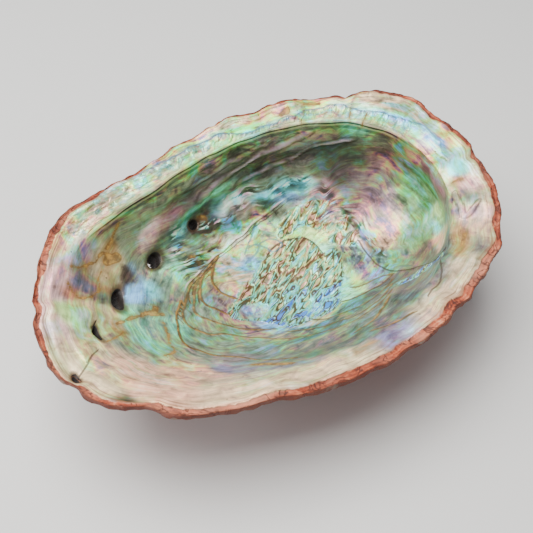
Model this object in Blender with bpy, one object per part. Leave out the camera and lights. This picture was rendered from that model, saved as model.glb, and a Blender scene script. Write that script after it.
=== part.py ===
"""Red abalone shell lying on its back with the open side up.

The shell is one grown piece. Its own frame has x towards the spire, y towards the shelf (the flat
inner lip) and z up, with the rim at z = 0. The bowl is described in polar form about a pole at its
deepest place: a direction phi, and a station s that is 0 at the pole, 1 at the crest where the wall
of the bowl meets the flat band under the rim, and 2 at the rim. An empty tilts the shell as it rests.
Lengths are in metres.
"""

import bpy
import bmesh
import numpy as np
from mathutils import Matrix, Vector

# Driving dimensions
POLE_X = 0.013                 # the deepest place, from the middle of the outline
BOWL_DEPTH = 0.046             # rim down to the deepest place
FLOOR = 0.0055                 # wall thickness under the deepest place
RIM_EDGE = 0.004               # thickness of the broken edge at the rim
RIM_ROUND = 0.0012             # how far the edge is rounded over
TILT = np.radians(6.0)         # the outer lip lies lower than the shelf when the shell rests
RIM_HEIGHT = 0.0526            # the middle of the rim's plane above the table

# Distance of the rim and of the crest from the pole, every 15 degrees from +X towards +Y
RIM = np.array([
    86.0, 89.5, 91.0, 81.0, 74.5, 70.0, 68.3, 68.5, 71.5, 80.5, 97.3, 107.0,
    114.2, 111.5, 99.5, 85.5, 76.5, 70.5, 67.8, 67.2, 69.0, 73.0, 78.0, 82.0]) / 1000
CREST = np.array([
    65.5, 68.3, 68.3, 64.8, 60.0, 56.5, 55.0, 56.0, 59.5, 67.0, 82.0, 97.0,
    101.5, 97.5, 85.0, 71.0, 62.0, 55.5, 52.5, 51.5, 51.5, 53.5, 56.5, 61.0]) / 1000

# Every 30 degrees: how far the crest lies under the rim, how much the wall is the steep one of the
# shelf side (1) or the flared one of the outer lip (0), and the thickness of the wall beside and
# under the crest
CREST_DROP = np.array([4.0, 3.0, 2.6, 2.6, 2.8, 4.0, 4.5, 5.5, 5.5, 5.5, 5.5, 5.2]) / 1000
STEEPNESS = np.array([1.0, 1.0, 1.0, 1.0, 1.0, 0.5, 0.1, 0.0, 0.0, 0.0, 0.15, 0.75])
CREST_WALL = np.array([12.0, 11.0, 6.5, 5.0, 5.0, 6.0, 5.0, 4.5, 4.5, 4.5, 6.0, 9.0]) / 1000
CREST_THICK = np.array([8.0, 8.0, 7.5, 7.0, 7.0, 6.0, 4.5, 4.3, 4.3, 4.3, 5.0, 7.0]) / 1000

# The row of breathing holes as direction in degrees and station, from the spire to the front rim
HOLE_ROW = ((20, 0.90), (45, 0.93), (63, 0.92), (87, 0.89), (105, 0.865), (121, 0.84), (147, 0.768),
            (158, 0.775), (166, 0.78), (178.6, 0.89), (185, 1.26), (189, 1.655))
# The open holes: direction in degrees, width and length in millimetres, and how far the long way is turned
# off the row, in degrees
OPEN_HOLES = ((121.2, 3.4, 3.9, 0), (147.0, 4.8, 7.1, 14), (166.2, 4.5, 10.0, 26), (178.6, 2.4, 8.0, 55),
              (188.9, 2.4, 4.2, 0))
HOLE_LEAN = (-0.18, -0.30, 0.30)  # the holes slant through the wall, away from the shelf
CLOSED_HOLES = (104, 88, 73, 59, 46, 34)   # directions of the grown-over holes, knobs outside
TUBERCLE = 0.0022              # how far each hole's knob stands up outside
ROW_SWELL = 0.0020             # how far the shell bulges out along the row of holes
ROW_SWELL_REACH = 0.0075
TUBERCLE_REACH = 0.0052
GROOVE = 0.0015                # depth of the channel that the holes lie in, inside
FUNNEL = 0.0012                # how much deeper the channel is at each open hole
GROOVE_REACH = 0.005
ROW_POINTS = 90                # points taken along the row to measure distances from it
CUTTER_SPARE = 0.005           # how far a hole's cutter stands out of the wall on each side

# The foot muscle's scar on the bowl's floor, and the coiled pocket under the spire
SCAR_MIDDLE = (0.0115, -0.0035)
SCAR_REACH = (0.0465, 0.0380)
SCAR_RISE = 0.0011
LUMPS_MIDDLE = (0.013, 0.002)
LUMPS_REACH = (0.028, 0.024)
LUMPS_RISE = 0.0008
LUMPS_TURNS = (560, 640)       # the lumps' waves along x and y, in radians per metre
LUMPS_WANDER = (300, 280)      # how the waves wander across each other, likewise
POCKET_MIDDLE = (0.073, 0.006)
POCKET_REACH = (0.016, 0.024)
POCKET_DEPTH = 0.0085
LEDGE_X = 0.0535               # the ledge where the floor drops into the pocket
LEDGE_DROP = 0.0022
FOLD_RISE = 0.0008             # the folds under the shelf, and their waves down the wall
FOLD_TURNS = 620
LIP_RISE = 0.0006              # the lip's uneven swellings

# Outside: the spire, the growth swellings and the three worn knobs that the shell stands on
SPIRE = (0.070, 0.008)
SPIRE_RADIUS = 0.020
SPIRE_RISE = 0.0090
WHORL_RATIO = 2.3              # how much wider each turn of the spire is than the one before
SUTURE = 0.0022
GROWTH_STEP = 0.013            # spacing of the broad growth swellings
GROWTH_RISE = 0.0007
GROWTH_WANDER = 0.002          # how far the swellings stray from true circles
CORD_RISE = 0.0006             # the weak cords that cross the swellings
CORDS = 11
CORD_TWIST = 40                # how much the cords curve, in radians per metre
REST_KNOBS = ((0.047, 0.003, 0.0022), (0.000, 0.017, 0.0058), (0.001, -0.015, 0.0048))
KNOB_RADIUS = 0.0105

# Breaks and dents in the rim: direction, width in degrees, how deep they bite, in metres
NOTCHES = ((44, 2.2, 0.0022), (358, 2.2, 0.0020), (173, 2.0, 0.0022), (204, 2.2, 0.0014),
           (191, 2.0, 0.0012), (236, 2.5, 0.0009), (300, 3.0, 0.0010), (75, 3.0, 0.0008))

# Evenness of the rim: small waves as rise or bite, waves in one round, and where they start
RIM_WAVES = ((0.0005, 17, 0.6), (0.0004, 29, 2.0))
RIM_LIFTS = ((0.0007, 5, 1.2), (0.0004, 13, 0.0))
RIM_CREST = (35, 14, 0.0018)   # the rim stands highest here: direction, width in degrees, how far

# Fineness of the solid
DIRECTIONS = 80
WALL_RINGS = 24
BAND_RINGS = 4
OUTLINE_STRETCH = 0.72         # directions are crowded towards the two ends by this


def around(values, phi):
    """Fourier series through values set at equal steps of direction, read at phi."""
    terms = np.fft.rfft(values) / len(values)
    terms[1:] *= 2
    if len(values) % 2 == 0:
        terms[-1] /= 2
    return sum((term * np.exp(1j * turn * phi)).real for turn, term in enumerate(terms))


def step(low, high, value):
    """Smooth rise from 0 at low to 1 at high."""
    t = np.clip((value - low) / (high - low), 0.0, 1.0)
    return t * t * (3 - 2 * t)


def mound(x, y, middle, reach):
    """Round mound of height 1 in plan, fading out over reach."""
    return np.exp(-((x - middle[0]) / reach[0]) ** 2 - ((y - middle[1]) / reach[1]) ** 2)


def beside(phi, direction, width):
    """1 at a direction given in degrees, fading out over a width in degrees on either side."""
    turn = (np.degrees(phi) - direction + 180) % 360 - 180
    return np.exp(-(turn / width) ** 2)


def rim_radius(phi):
    """The rim's distance from the pole, with its notches and the unevenness of a broken edge."""
    radius = around(RIM, phi)
    for height, waves, start in RIM_WAVES:
        radius = radius + height * np.sin(waves * phi + start)
    for direction, width, bite in NOTCHES:
        radius = radius - bite * beside(phi, direction, width)
    return radius


def rim_lift(phi):
    """The rim's height over its plane: it waves gently, as the growing edge does."""
    direction, width, height = RIM_CREST
    lift = height * beside(phi, direction, width)
    for height, waves, start in RIM_LIFTS:
        lift = lift + height * np.sin(waves * phi + start)
    return lift


def fall(s, steep):
    """The wall's shape: 1 at the pole, 0 at the crest; upright when steep, flared when not."""
    power = 2.2 + steep
    flare = 0.4 * (1 - steep)
    bowl = np.maximum(1 - s ** power, 0) ** (1 / (1 + 0.7 * steep))
    return (1 - flare) * bowl + flare * (1 - 3 * s ** 2 + 2 * s ** 3)


def surface(s, phi, outside):
    """Points of the inner or outer surface before relief, at station s and direction phi."""
    steep = np.clip(around(STEEPNESS, phi), 0, 1)
    near_pole = step(0.45, 0.05, s)
    steep = steep * (1 - near_pole) + STEEPNESS.mean() * near_pole
    crest = around(CREST, phi)
    drop = around(CREST_DROP, phi)
    depth = BOWL_DEPTH
    edge = 0.0
    if outside:
        crest = crest + around(CREST_WALL, phi)
        drop = drop + around(CREST_THICK, phi)
        depth = depth + FLOOR
        edge = RIM_EDGE
    wall = np.minimum(s, 1)
    band = np.clip(s - 1, 0, 1)
    radius = crest * wall + (rim_radius(phi) - RIM_ROUND - crest) * band
    z = -edge * band - drop * (1 - band) - (depth - drop) * fall(wall, steep)
    z = z + rim_lift(phi) * step(0.8, 2.0, s)
    return np.stack([POLE_X + radius * np.cos(phi), radius * np.sin(phi), z], axis=-1)


def on_hole_row(directions, outside):
    """Points of the row of holes at these directions, in degrees, on the inner or outer surface."""
    row_direction, row_station = np.array(HOLE_ROW).T
    directions = np.asarray(directions, float)
    return surface(np.interp(directions, row_direction, row_station), np.radians(directions), outside)


def hole_row(outside):
    """Points all along the row of holes."""
    return on_hole_row(np.linspace(HOLE_ROW[0][0], HOLE_ROW[-1][0], ROW_POINTS), outside)


def distance_to(points, places):
    """Distance from each point to the nearest of the places."""
    gaps = points[..., None, :] - places
    return np.sqrt((gaps ** 2).sum(axis=-1)).min(axis=-1)


def relief_inside(p, s, phi):
    """How far the inner surface is raised (or sunk) by what has grown on it."""
    x, y = p[..., 0], p[..., 1]
    turn = np.degrees(phi)
    scar = np.hypot((x - SCAR_MIDDLE[0]) / SCAR_REACH[0], (y - SCAR_MIDDLE[1]) / SCAR_REACH[1])
    rise = SCAR_RISE * step(1.06, 0.94, scar)
    along_x = np.sin(x * LUMPS_TURNS[0] + 1.3 * np.sin(y * LUMPS_WANDER[0]))
    along_y = np.sin(y * LUMPS_TURNS[1] + 1.2 * np.sin(x * LUMPS_WANDER[1] + 1))
    lumpy = np.hypot((x - LUMPS_MIDDLE[0]) / LUMPS_REACH[0], (y - LUMPS_MIDDLE[1]) / LUMPS_REACH[1])
    rise += LUMPS_RISE * along_x * along_y * step(1.1, 0.8, lumpy) * step(0.0, 0.12, s)
    rise -= LEDGE_DROP * step(LEDGE_X - 0.002, LEDGE_X + 0.002, x) * step(1.04, 0.9, s)
    rise -= POCKET_DEPTH * mound(x, y, POCKET_MIDDLE, POCKET_REACH) * step(1.0, 0.93, s)
    rise -= GROOVE * np.exp(-(distance_to(p, hole_row(False)) / GROOVE_REACH) ** 2)
    open_holes = on_hole_row([hole[0] for hole in OPEN_HOLES], False)
    rise -= FUNNEL * np.exp(-(distance_to(p, open_holes) / GROOVE_REACH) ** 2)
    folds = step(0.80, 0.88, s) * step(1.0, 0.97, s) * step(35, 55, turn) * step(150, 125, turn)
    rise += FOLD_RISE * folds * np.sin(-p[..., 2] * FOLD_TURNS + 0.8 * np.sin(4 * phi))
    lip = step(0.75, 1.0, s) * step(2.0, 1.7, s)
    rise += LIP_RISE * lip * np.sin(9 * phi + 6 * s) * np.sin(13 * phi - 4 * s + 1)
    return rise


def relief_outside(p, s, phi):
    """How far the outer surface is raised by the spire, the holes' knobs and the growth swellings."""
    x, y = p[..., 0], p[..., 1]
    from_apex = np.hypot(x - SPIRE[0], y - SPIRE[1])
    around_apex = np.arctan2(y - SPIRE[1], x - SPIRE[0])
    below_rim = step(2.0, 1.6, s)
    spire = np.exp(-(from_apex / SPIRE_RADIUS) ** 2)
    rise = SPIRE_RISE * spire * step(1.35, 0.95, s)
    turns = np.log(np.maximum(from_apex, 0.003) / SPIRE_RADIUS) / np.log(WHORL_RATIO)
    seam = (turns - around_apex / (2 * np.pi) + 0.5) % 1.0 - 0.5
    rise -= SUTURE * np.exp(-(seam / 0.13) ** 2) * step(0.036, 0.022, from_apex) * below_rim
    row = distance_to(p, hole_row(True))
    rise += ROW_SWELL * np.exp(-(row / ROW_SWELL_REACH) ** 2) * step(2.0, 1.5, s)
    knobs = on_hole_row([hole[0] for hole in OPEN_HOLES[:-1]] + list(CLOSED_HOLES), True)
    rise += TUBERCLE * np.exp(-(distance_to(p, knobs) / TUBERCLE_REACH) ** 2)
    outward = from_apex + GROWTH_WANDER * np.sin(5 * around_apex)
    swellings = np.sin(2 * np.pi * outward / GROWTH_STEP) * step(0.02, 0.05, from_apex)
    cords = np.sin(CORDS * around_apex + CORD_TWIST * from_apex) * step(0.03, 0.07, from_apex)
    rise += (GROWTH_RISE * swellings + CORD_RISE * cords) * below_rim
    for knob_x, knob_y, height in REST_KNOBS:
        rise += height * mound(x, y, (knob_x, knob_y), (KNOB_RADIUS, KNOB_RADIUS))
    return rise


def normals_of(grid):
    """Outward direction at each point of a closed grid of rings (rows) and directions (columns)."""
    along = np.roll(grid, -1, axis=1) - np.roll(grid, 1, axis=1)
    across = np.gradient(grid, axis=0)
    normals = np.cross(across, along)
    normals[0] = (0, 0, 1)
    normals[-1] = (0, 0, -1)
    return normals / np.linalg.norm(normals, axis=-1, keepdims=True)


def shell_grid():
    """The whole skin: rings from the pole inside, up over the rim and down to the pole outside."""
    stretch = 2 * np.pi * np.arange(DIRECTIONS) / DIRECTIONS
    phi = np.arctan2(OUTLINE_STRETCH * np.sin(stretch), np.cos(stretch)) % (2 * np.pi)
    wall = np.linspace(0, 1, WALL_RINGS + 1)[:, None]
    upright = np.clip(around(STEEPNESS, phi), 0, 1)
    wall = (1 - upright) * wall + upright * np.sin(0.5 * np.pi * wall)
    band = np.linspace(0, 1, BAND_RINGS + 1)[1:, None] + np.ones(DIRECTIONS)
    inner_s = np.concatenate([wall, band])
    outer_s = inner_s[::-1]
    inner_phi = np.broadcast_to(phi, inner_s.shape)
    outer_phi = inner_phi
    inside = surface(inner_s, inner_phi, False)
    outside = surface(outer_s, outer_phi, True)
    for _ in range(2):
        outside[1:-1] = 0.25 * outside[:-2] + 0.5 * outside[1:-1] + 0.25 * outside[2:]
    edge = 0.5 * (inside[-1] + outside[0])
    outward = np.stack([np.cos(phi), np.sin(phi), 0 * phi], axis=-1)
    edge = edge + RIM_ROUND * outward
    grid = np.concatenate([inside, edge[None], outside])
    normals = normals_of(grid)
    count = len(inside)
    inside_rise = relief_inside(inside, inner_s, inner_phi)
    outside_rise = relief_outside(outside, outer_s, outer_phi)
    inside_rise[0] = inside_rise[0].mean()
    outside_rise[-1] = outside_rise[-1].mean()
    grid[:count] += normals[:count] * inside_rise[..., None]
    grid[count + 1:] += normals[count + 1:] * outside_rise[..., None]
    return grid


def stand_on_table(grid):
    """Wear the knobs flat where they would reach below the table that the tilted shell lies on."""
    up = np.array([0.0, np.sin(TILT), np.cos(TILT)])
    height = grid @ up + RIM_HEIGHT
    return grid + np.maximum(-height, 0)[..., None] * up


def shell_mesh(grid):
    """A sphere's rings and meridians, each vertex moved to its place on the shell's skin."""
    rings = len(grid) - 1
    bm = bmesh.new()
    bmesh.ops.create_uvsphere(bm, u_segments=DIRECTIONS, v_segments=rings, radius=1.0)
    for vertex in bm.verts:
        ring = round(float(np.arccos(np.clip(vertex.co.z, -1, 1))) / np.pi * rings)
        column = round(float(np.arctan2(vertex.co.y, vertex.co.x)) / (2 * np.pi) * DIRECTIONS)
        vertex.co = grid[ring, column % DIRECTIONS]
    mesh = bpy.data.meshes.new("shell")
    bm.to_mesh(mesh)
    bm.free()
    mesh.shade_smooth()
    mesh.set_sharp_from_angle(angle=np.radians(50))
    return mesh


def hole_cutter(number, direction, width, length, turned):
    """An oval plug across the wall at one breathing hole, its long way turned off the row's."""
    inner = on_hole_row([direction - 1.0, direction, direction + 1.0], False)
    outer = on_hole_row([direction - 1.0, direction, direction + 1.0], True)
    middle = Vector((inner[1] + outer[1]) / 2)
    through = Vector(outer[1] - inner[1])
    reach = through.length + 2 * CUTTER_SPARE
    through = (through.normalized() + Vector(HOLE_LEAN)).normalized()
    along = Vector(inner[2] - inner[0])
    along = (along - along.dot(through) * through).normalized()
    along = along * np.cos(turned) + along.cross(through) * np.sin(turned)
    side = through.cross(along)
    bm = bmesh.new()
    bmesh.ops.create_cone(bm, cap_ends=True, segments=14, radius1=0.5, radius2=0.5, depth=1.0)
    mesh = bpy.data.meshes.new("hole cutter %d" % number)
    bm.to_mesh(mesh)
    bm.free()
    cutter = bpy.data.objects.new("hole cutter %d" % number, mesh)
    axes = Matrix((along * length, side * width, through * reach)).transposed().to_4x4()
    cutter.data.transform(Matrix.Translation(middle) @ axes)
    cutter.hide_render = True
    cutter.display_type = "WIRE"
    return cutter


def nacre_and_crust():
    """One plain material for the whole shell: pale grey-green nacre."""
    material = bpy.data.materials.new("shell")
    material.use_nodes = True
    shader = material.node_tree.nodes["Principled BSDF"]
    shader.inputs["Base Color"].default_value = (0.40, 0.44, 0.38, 1.0)
    shader.inputs["Roughness"].default_value = 0.3
    shader.inputs["Metallic"].default_value = 0.0
    return material


for old in list(bpy.data.objects):
    bpy.data.objects.remove(old, do_unlink=True)

abalone = bpy.data.collections.new("abalone shell")
cutters = bpy.data.collections.new("hole cutters")
bpy.context.scene.collection.children.link(abalone)
bpy.context.scene.collection.children.link(cutters)

skin = stand_on_table(shell_grid())
shell = bpy.data.objects.new("shell", shell_mesh(skin))
shell.data.materials.append(nacre_and_crust())
abalone.objects.link(shell)

# The shell's own frame, tilted about X and lifted so that its lowest knobs stand on z = 0 and the
# middle of its outline in plan is over the origin
turn = Matrix.Rotation(TILT, 3, "X")
placed = skin.reshape(-1, 3) @ np.array(turn).T
middle = (placed.min(axis=0) + placed.max(axis=0)) / 2
rest = bpy.data.objects.new("rest frame", None)
rest.rotation_euler = (TILT, 0, 0)
rest.location = (-middle[0], -middle[1], RIM_HEIGHT)
abalone.objects.link(rest)
shell.parent = rest

for number, (direction, width, length, turned) in enumerate(OPEN_HOLES, start=1):
    plug = hole_cutter(number, direction, width / 1000, length / 1000, np.radians(turned))
    cutters.objects.link(plug)
    plug.parent = rest

holes = shell.modifiers.new("breathing holes", "BOOLEAN")
holes.operation = "DIFFERENCE"
holes.operand_type = "COLLECTION"
holes.collection = cutters
holes.solver = "EXACT"
bpy.context.view_layer.update()
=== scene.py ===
"""An abalone shell lying on its back with the nacre side up.

The shell is one closed skin. Its shape is worked out in the shell's own frame: x towards the spire,
y towards the shelf (the flat inner lip), z up, the rim at z = 0. Lengths are in metres unless a
name or comment says millimetres.
"""

import bpy
import numpy as np
from mathutils import Matrix


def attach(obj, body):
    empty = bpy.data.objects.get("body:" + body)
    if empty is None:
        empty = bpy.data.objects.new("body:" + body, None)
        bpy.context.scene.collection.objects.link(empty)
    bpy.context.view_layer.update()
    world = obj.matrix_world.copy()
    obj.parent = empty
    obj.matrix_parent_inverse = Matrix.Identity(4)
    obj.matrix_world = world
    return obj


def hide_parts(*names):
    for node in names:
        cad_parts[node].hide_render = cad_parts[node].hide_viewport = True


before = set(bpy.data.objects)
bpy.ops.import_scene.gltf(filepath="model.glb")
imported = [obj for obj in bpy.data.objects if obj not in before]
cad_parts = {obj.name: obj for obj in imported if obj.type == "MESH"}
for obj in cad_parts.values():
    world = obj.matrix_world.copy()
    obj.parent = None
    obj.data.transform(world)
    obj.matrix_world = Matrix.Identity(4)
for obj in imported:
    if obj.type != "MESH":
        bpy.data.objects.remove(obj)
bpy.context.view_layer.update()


# The shell's form
#
# The real shell is one piece that grew at its rim: a thick cup of nacre under a red outer layer, with a
# flat shelf along one side. It is described about a pole at the bowl's deepest place, by a direction phi
# and a station s: 0 at the pole, 1 at the crest, where the wall meets the flat band, and 2 at the rim.

POLE_X = 0.013                 # the deepest place, from the middle of the outline
BOWL_DEPTH = 0.046             # rim down to the deepest place
FLOOR = 0.0055                 # wall thickness under the deepest place
RIM_EDGE = 0.004               # thickness of the broken edge at the rim
RIM_ROUND = 0.0010             # how far the edge is rounded over
RIM_SPARE = 0.0004             # the skin stays this far inside the solid's rim
TILT = np.radians(6.0)         # the outer lip lies lower than the shelf when the shell rests
SHELL_MIDDLE = (-0.000800, 0.000071)   # the tilted shell's middle in plan
RIM_HEIGHT = 0.0526            # the middle of the rim's plane above the table

# Distance of the rim and of the crest from the pole, every 15 degrees from +X towards +Y
RIM = np.array([
    86.0, 89.5, 91.0, 81.0, 74.5, 70.0, 68.3, 68.5, 71.5, 80.5, 97.3, 107.0,
    114.2, 111.5, 99.5, 85.5, 76.5, 70.5, 67.8, 67.2, 69.0, 73.0, 78.0, 82.0]) / 1000
CREST = np.array([
    65.5, 68.3, 68.3, 64.8, 60.0, 56.5, 55.0, 56.0, 59.5, 67.0, 82.0, 97.0,
    101.5, 97.5, 85.0, 71.0, 62.0, 55.5, 52.5, 51.5, 51.5, 53.5, 56.5, 61.0]) / 1000

# Every 30 degrees: how far the crest lies under the rim, how upright (1) or flared (0) the wall is, and
# the thickness of the wall beside and under the crest
CREST_DROP = np.array([4.0, 3.0, 2.6, 2.6, 2.8, 4.0, 4.5, 5.5, 5.5, 5.5, 5.5, 5.2]) / 1000
STEEPNESS = np.array([1.0, 1.0, 1.0, 1.0, 1.0, 0.5, 0.1, 0.0, 0.0, 0.0, 0.15, 0.75])
CREST_WALL = np.array([12.0, 11.0, 6.5, 5.0, 5.0, 6.0, 5.0, 4.5, 4.5, 4.5, 6.0, 9.0]) / 1000
CREST_THICK = np.array([8.0, 8.0, 7.5, 7.0, 7.0, 6.0, 4.5, 4.3, 4.3, 4.3, 5.0, 7.0]) / 1000

# Breaks in the rim: direction, width in degrees, how deep they bite
NOTCHES = ((44, 2.2, 0.0022), (358, 2.2, 0.0020), (173, 2.0, 0.0022), (204, 2.2, 0.0014),
           (191, 2.0, 0.0012), (236, 2.5, 0.0009), (300, 3.0, 0.0010), (75, 3.0, 0.0008))

# Small waves of the rim as rise or bite, waves in one round, and where they start
RIM_WAVES = ((0.0005, 17, 0.6), (0.0004, 29, 2.0))
RIM_LIFTS = ((0.0007, 5, 1.2), (0.0004, 13, 0.0))
RIM_CREST = (35, 14, 0.0018)   # the rim stands highest here: direction, width in degrees, how far

# Fineness of the skin
DIRECTIONS = 440
WALL_RINGS = 90
BAND_RINGS = 18
EDGE_RINGS = 4
OUTLINE_STRETCH = 0.72         # directions are crowded towards the two ends by this
SMOOTHING = 28                 # rounds of averaging that soften the corner outside, under the rim


def around(values, phi):
    """Fourier series through values set at equal steps of direction, read at phi."""
    terms = np.fft.rfft(values) / len(values)
    terms[1:] *= 2
    if len(values) % 2 == 0:
        terms[-1] /= 2
    return sum((term * np.exp(1j * turn * phi)).real for turn, term in enumerate(terms))


def step(low, high, value):
    """Smooth rise from 0 at low to 1 at high."""
    t = np.clip((value - low) / (high - low), 0.0, 1.0)
    return t * t * (3 - 2 * t)


def mound(x, y, middle, reach):
    """Round mound of height 1 in plan, fading out over reach."""
    return np.exp(-((x - middle[0]) / reach[0]) ** 2 - ((y - middle[1]) / reach[1]) ** 2)


def value_noise(places, seed):
    """Smooth noise in 0..1: a hashed value at each whole-number corner, blended across the cell."""
    corner = np.floor(places).astype(np.int64)
    part = places - corner
    part = part * part * (3 - 2 * part)
    total = 0.0
    for number in range(8):
        offset = np.array([number & 1, (number >> 1) & 1, number >> 2])
        cell = corner + offset
        code = cell[..., 0] * 73856093 ^ cell[..., 1] * 19349663 ^ cell[..., 2] * 83492791 ^ seed * 2654435
        code = ((code ^ (code >> 13)) * 1274126177) & 0xFFFFFFFF
        code = ((code ^ (code >> 15)) * 668265263) & 0xFFFFFFFF
        weight = np.prod(np.where(offset, part, 1 - part), axis=-1)
        total = total + weight * code / 0xFFFFFFFF
    return total


def fractal(places, size, octaves=3, seed=1):
    """Layers of smooth noise, each half the size and half the height of the last, in -1..1. The size is a
    length, and each use has a seed of its own."""
    total = 0.0
    weight = 0.0
    for octave in range(octaves):
        share = 0.5 ** octave
        total = total + share * (2 * value_noise(places / size / share, seed + octave) - 1)
        weight += share
    return total / weight


def beside(phi, direction, width):
    """1 at a direction given in degrees, fading out over a width in degrees on either side."""
    turn = (np.degrees(phi) - direction + 180) % 360 - 180
    return np.exp(-(turn / width) ** 2)


def rim_radius(phi):
    """The rim's distance from the pole, with its notches and the unevenness of a broken edge."""
    radius = around(RIM, phi) - RIM_SPARE
    for height, waves, start in RIM_WAVES:
        radius = radius + height * np.sin(waves * phi + start)
    for direction, width, bite in NOTCHES:
        radius = radius - bite * beside(phi, direction, width)
    return radius


def rim_lift(phi):
    """The rim's height over its plane: it waves gently, as the growing edge does."""
    direction, width, height = RIM_CREST
    lift = height * beside(phi, direction, width)
    for height, waves, start in RIM_LIFTS:
        lift = lift + height * np.sin(waves * phi + start)
    return lift


def fall(s, steep):
    """The wall's shape: 1 at the pole, 0 at the crest; upright when steep, flared when not."""
    power = 2.2 + steep
    flare = 0.4 * (1 - steep)
    bowl = np.maximum(1 - s ** power, 0) ** (1 / (1 + 0.7 * steep))
    return (1 - flare) * bowl + flare * (1 - 3 * s ** 2 + 2 * s ** 3)


def surface(s, phi, outside):
    """Points of the inner or outer face before relief: a crest curve scaled by the station, then the flat
    band out to the rim; the height falls from the crest to the floor by the wall's shape."""
    steep = np.clip(around(STEEPNESS, phi), 0, 1)
    near_pole = step(0.45, 0.05, s)
    steep = steep * (1 - near_pole) + STEEPNESS.mean() * near_pole
    crest = around(CREST, phi)
    drop = around(CREST_DROP, phi)
    depth = BOWL_DEPTH
    edge = 0.0
    if outside:
        crest = crest + around(CREST_WALL, phi)
        drop = drop + around(CREST_THICK, phi)
        depth = depth + FLOOR
        edge = RIM_EDGE
    wall = np.minimum(s, 1)
    band = np.clip(s - 1, 0, 1)
    radius = crest * wall + (rim_radius(phi) - RIM_ROUND - crest) * band
    z = -edge * band - drop * (1 - band) - (depth - drop) * fall(wall, steep)
    z = z + rim_lift(phi) * step(0.8, 2.0, s)
    return np.stack([POLE_X + radius * np.cos(phi), radius * np.sin(phi), z], axis=-1)


# Stations (rows) and directions (columns) of one face of the shell
spread = 2 * np.pi * np.arange(DIRECTIONS) / DIRECTIONS
column_phi = np.arctan2(OUTLINE_STRETCH * np.sin(spread), np.cos(spread)) % (2 * np.pi)
uprightness = np.clip(around(STEEPNESS, column_phi), 0, 1)
even = np.linspace(0, 1, WALL_RINGS + 1)[:, None]
wall_s = (1 - uprightness) * even + uprightness * np.sin(0.5 * np.pi * even)
band_s = 1 + np.linspace(0, 1, BAND_RINGS + 1)[1:, None] + np.zeros(DIRECTIONS)
station = np.concatenate([wall_s, band_s])
direction = np.broadcast_to(column_phi, station.shape).copy()

# The face unrolled flat, in millimetres: how far along the shell from the pole, in each direction
plain_face = surface(station, direction, False)
walk = np.zeros(station.shape)
walk[1:] = np.cumsum(np.linalg.norm(np.diff(plain_face, axis=0), axis=-1), axis=0) * 1000
unrolled = np.stack([walk * np.cos(direction), walk * np.sin(direction)], axis=-1)


# The breathing holes
#
# The animal left a row of holes as it grew and closed the old ones from inside. Four oval holes are open
# with smooth rounded lips, and a small one at the rim is unfinished. Each pierces the wall at a slant.

HOLE_ROW = ((20, 0.90), (45, 0.93), (63, 0.92), (87, 0.89), (105, 0.865), (121, 0.84), (147, 0.768),
            (158, 0.775), (166, 0.78), (178.6, 0.89), (185, 1.26), (189, 1.655))
# The open holes: direction in degrees, width and length in millimetres, and how far the long way is turned
# off the row, in degrees
OPEN_HOLES = ((121.2, 3.4, 3.9, 0), (147.0, 4.8, 7.1, 14), (166.2, 4.5, 10.0, 26), (178.6, 2.4, 8.0, 55),
              (188.9, 2.4, 4.2, 0))
CLOSED_HOLES = (104, 88, 73, 59, 46, 34)   # directions of the grown-over holes, knobs outside
HOLE_LEAN = (-0.18, -0.30, 0.30)           # added to the way straight through the wall: the holes slant
MOUTH = 1.24                   # a hole's mouth is this much wider than the hole in the wall
LEAN_REACH = 0.009             # how far round a hole the outer face is drawn over by its slant
POLE_CALM = 0.12               # nearer the pole than this station it is drawn over less and less
ROW_POINTS = 90                # points taken along the row to measure distances from it
# The hole's own wall, from the inner mouth to the outer one: how far through, and how wide
HOLE_THROUGH = (0.05, 0.17, 0.35, 0.65, 0.85, 0.95)
HOLE_SWELL = (1.09, 1.01, 1.0, 1.0, 1.02, 1.10)
NACRE_STRIPS = 2               # past this one of its strips the hole's wall is the red layer


def on_hole_row(degrees, outside):
    """Points of the row of holes at these directions on the inner or outer face."""
    row_degrees, row_station = np.array(HOLE_ROW).T
    degrees = np.asarray(degrees, float)
    return surface(np.interp(degrees, row_degrees, row_station), np.radians(degrees), outside)


def hole_row(outside):
    """Points all along the row of holes."""
    return on_hole_row(np.linspace(HOLE_ROW[0][0], HOLE_ROW[-1][0], ROW_POINTS), outside)


def distance_to(points, places):
    """Distance from each point to the nearest of the places."""
    nearest = np.full(points.shape[:-1], np.inf)
    for place in places:
        nearest = np.minimum(nearest, np.linalg.norm(points - place, axis=-1))
    return nearest


def unit(vectors):
    """The same directions with length 1."""
    return vectors / np.linalg.norm(vectors, axis=-1, keepdims=True)


hole_degrees, hole_width, hole_length, hole_turn = np.array(OPEN_HOLES, float).T
hole_size = np.stack([hole_length, hole_width], axis=-1) / 2000
hole_place = np.stack([np.interp(hole_degrees, *np.array(HOLE_ROW).T), np.radians(hole_degrees)], axis=-1)


def hole_frames(outside):
    """For each hole, the matrix from a step in station and direction to metres along its long and its short
    way, and those two ways."""
    nudge = 1e-3
    here = surface(hole_place[:, 0], hole_place[:, 1], outside)
    by_station = (surface(hole_place[:, 0] + nudge, hole_place[:, 1], outside) - here) / nudge
    by_direction = (surface(hole_place[:, 0], hole_place[:, 1] + nudge, outside) - here) / nudge
    along = unit(on_hole_row(hole_degrees + 1, outside) - on_hole_row(hole_degrees - 1, outside))
    across = np.cross(unit(np.cross(by_station, by_direction)), along)
    turn = np.radians(hole_turn)[:, None]
    long_way = along * np.cos(turn) + across * np.sin(turn)
    short_way = across * np.cos(turn) - along * np.sin(turn)
    rows = [[(by_station * way).sum(-1), (by_direction * way).sum(-1)] for way in (long_way, short_way)]
    return np.moveaxis(np.array(rows), -1, 0), long_way, short_way


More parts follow.
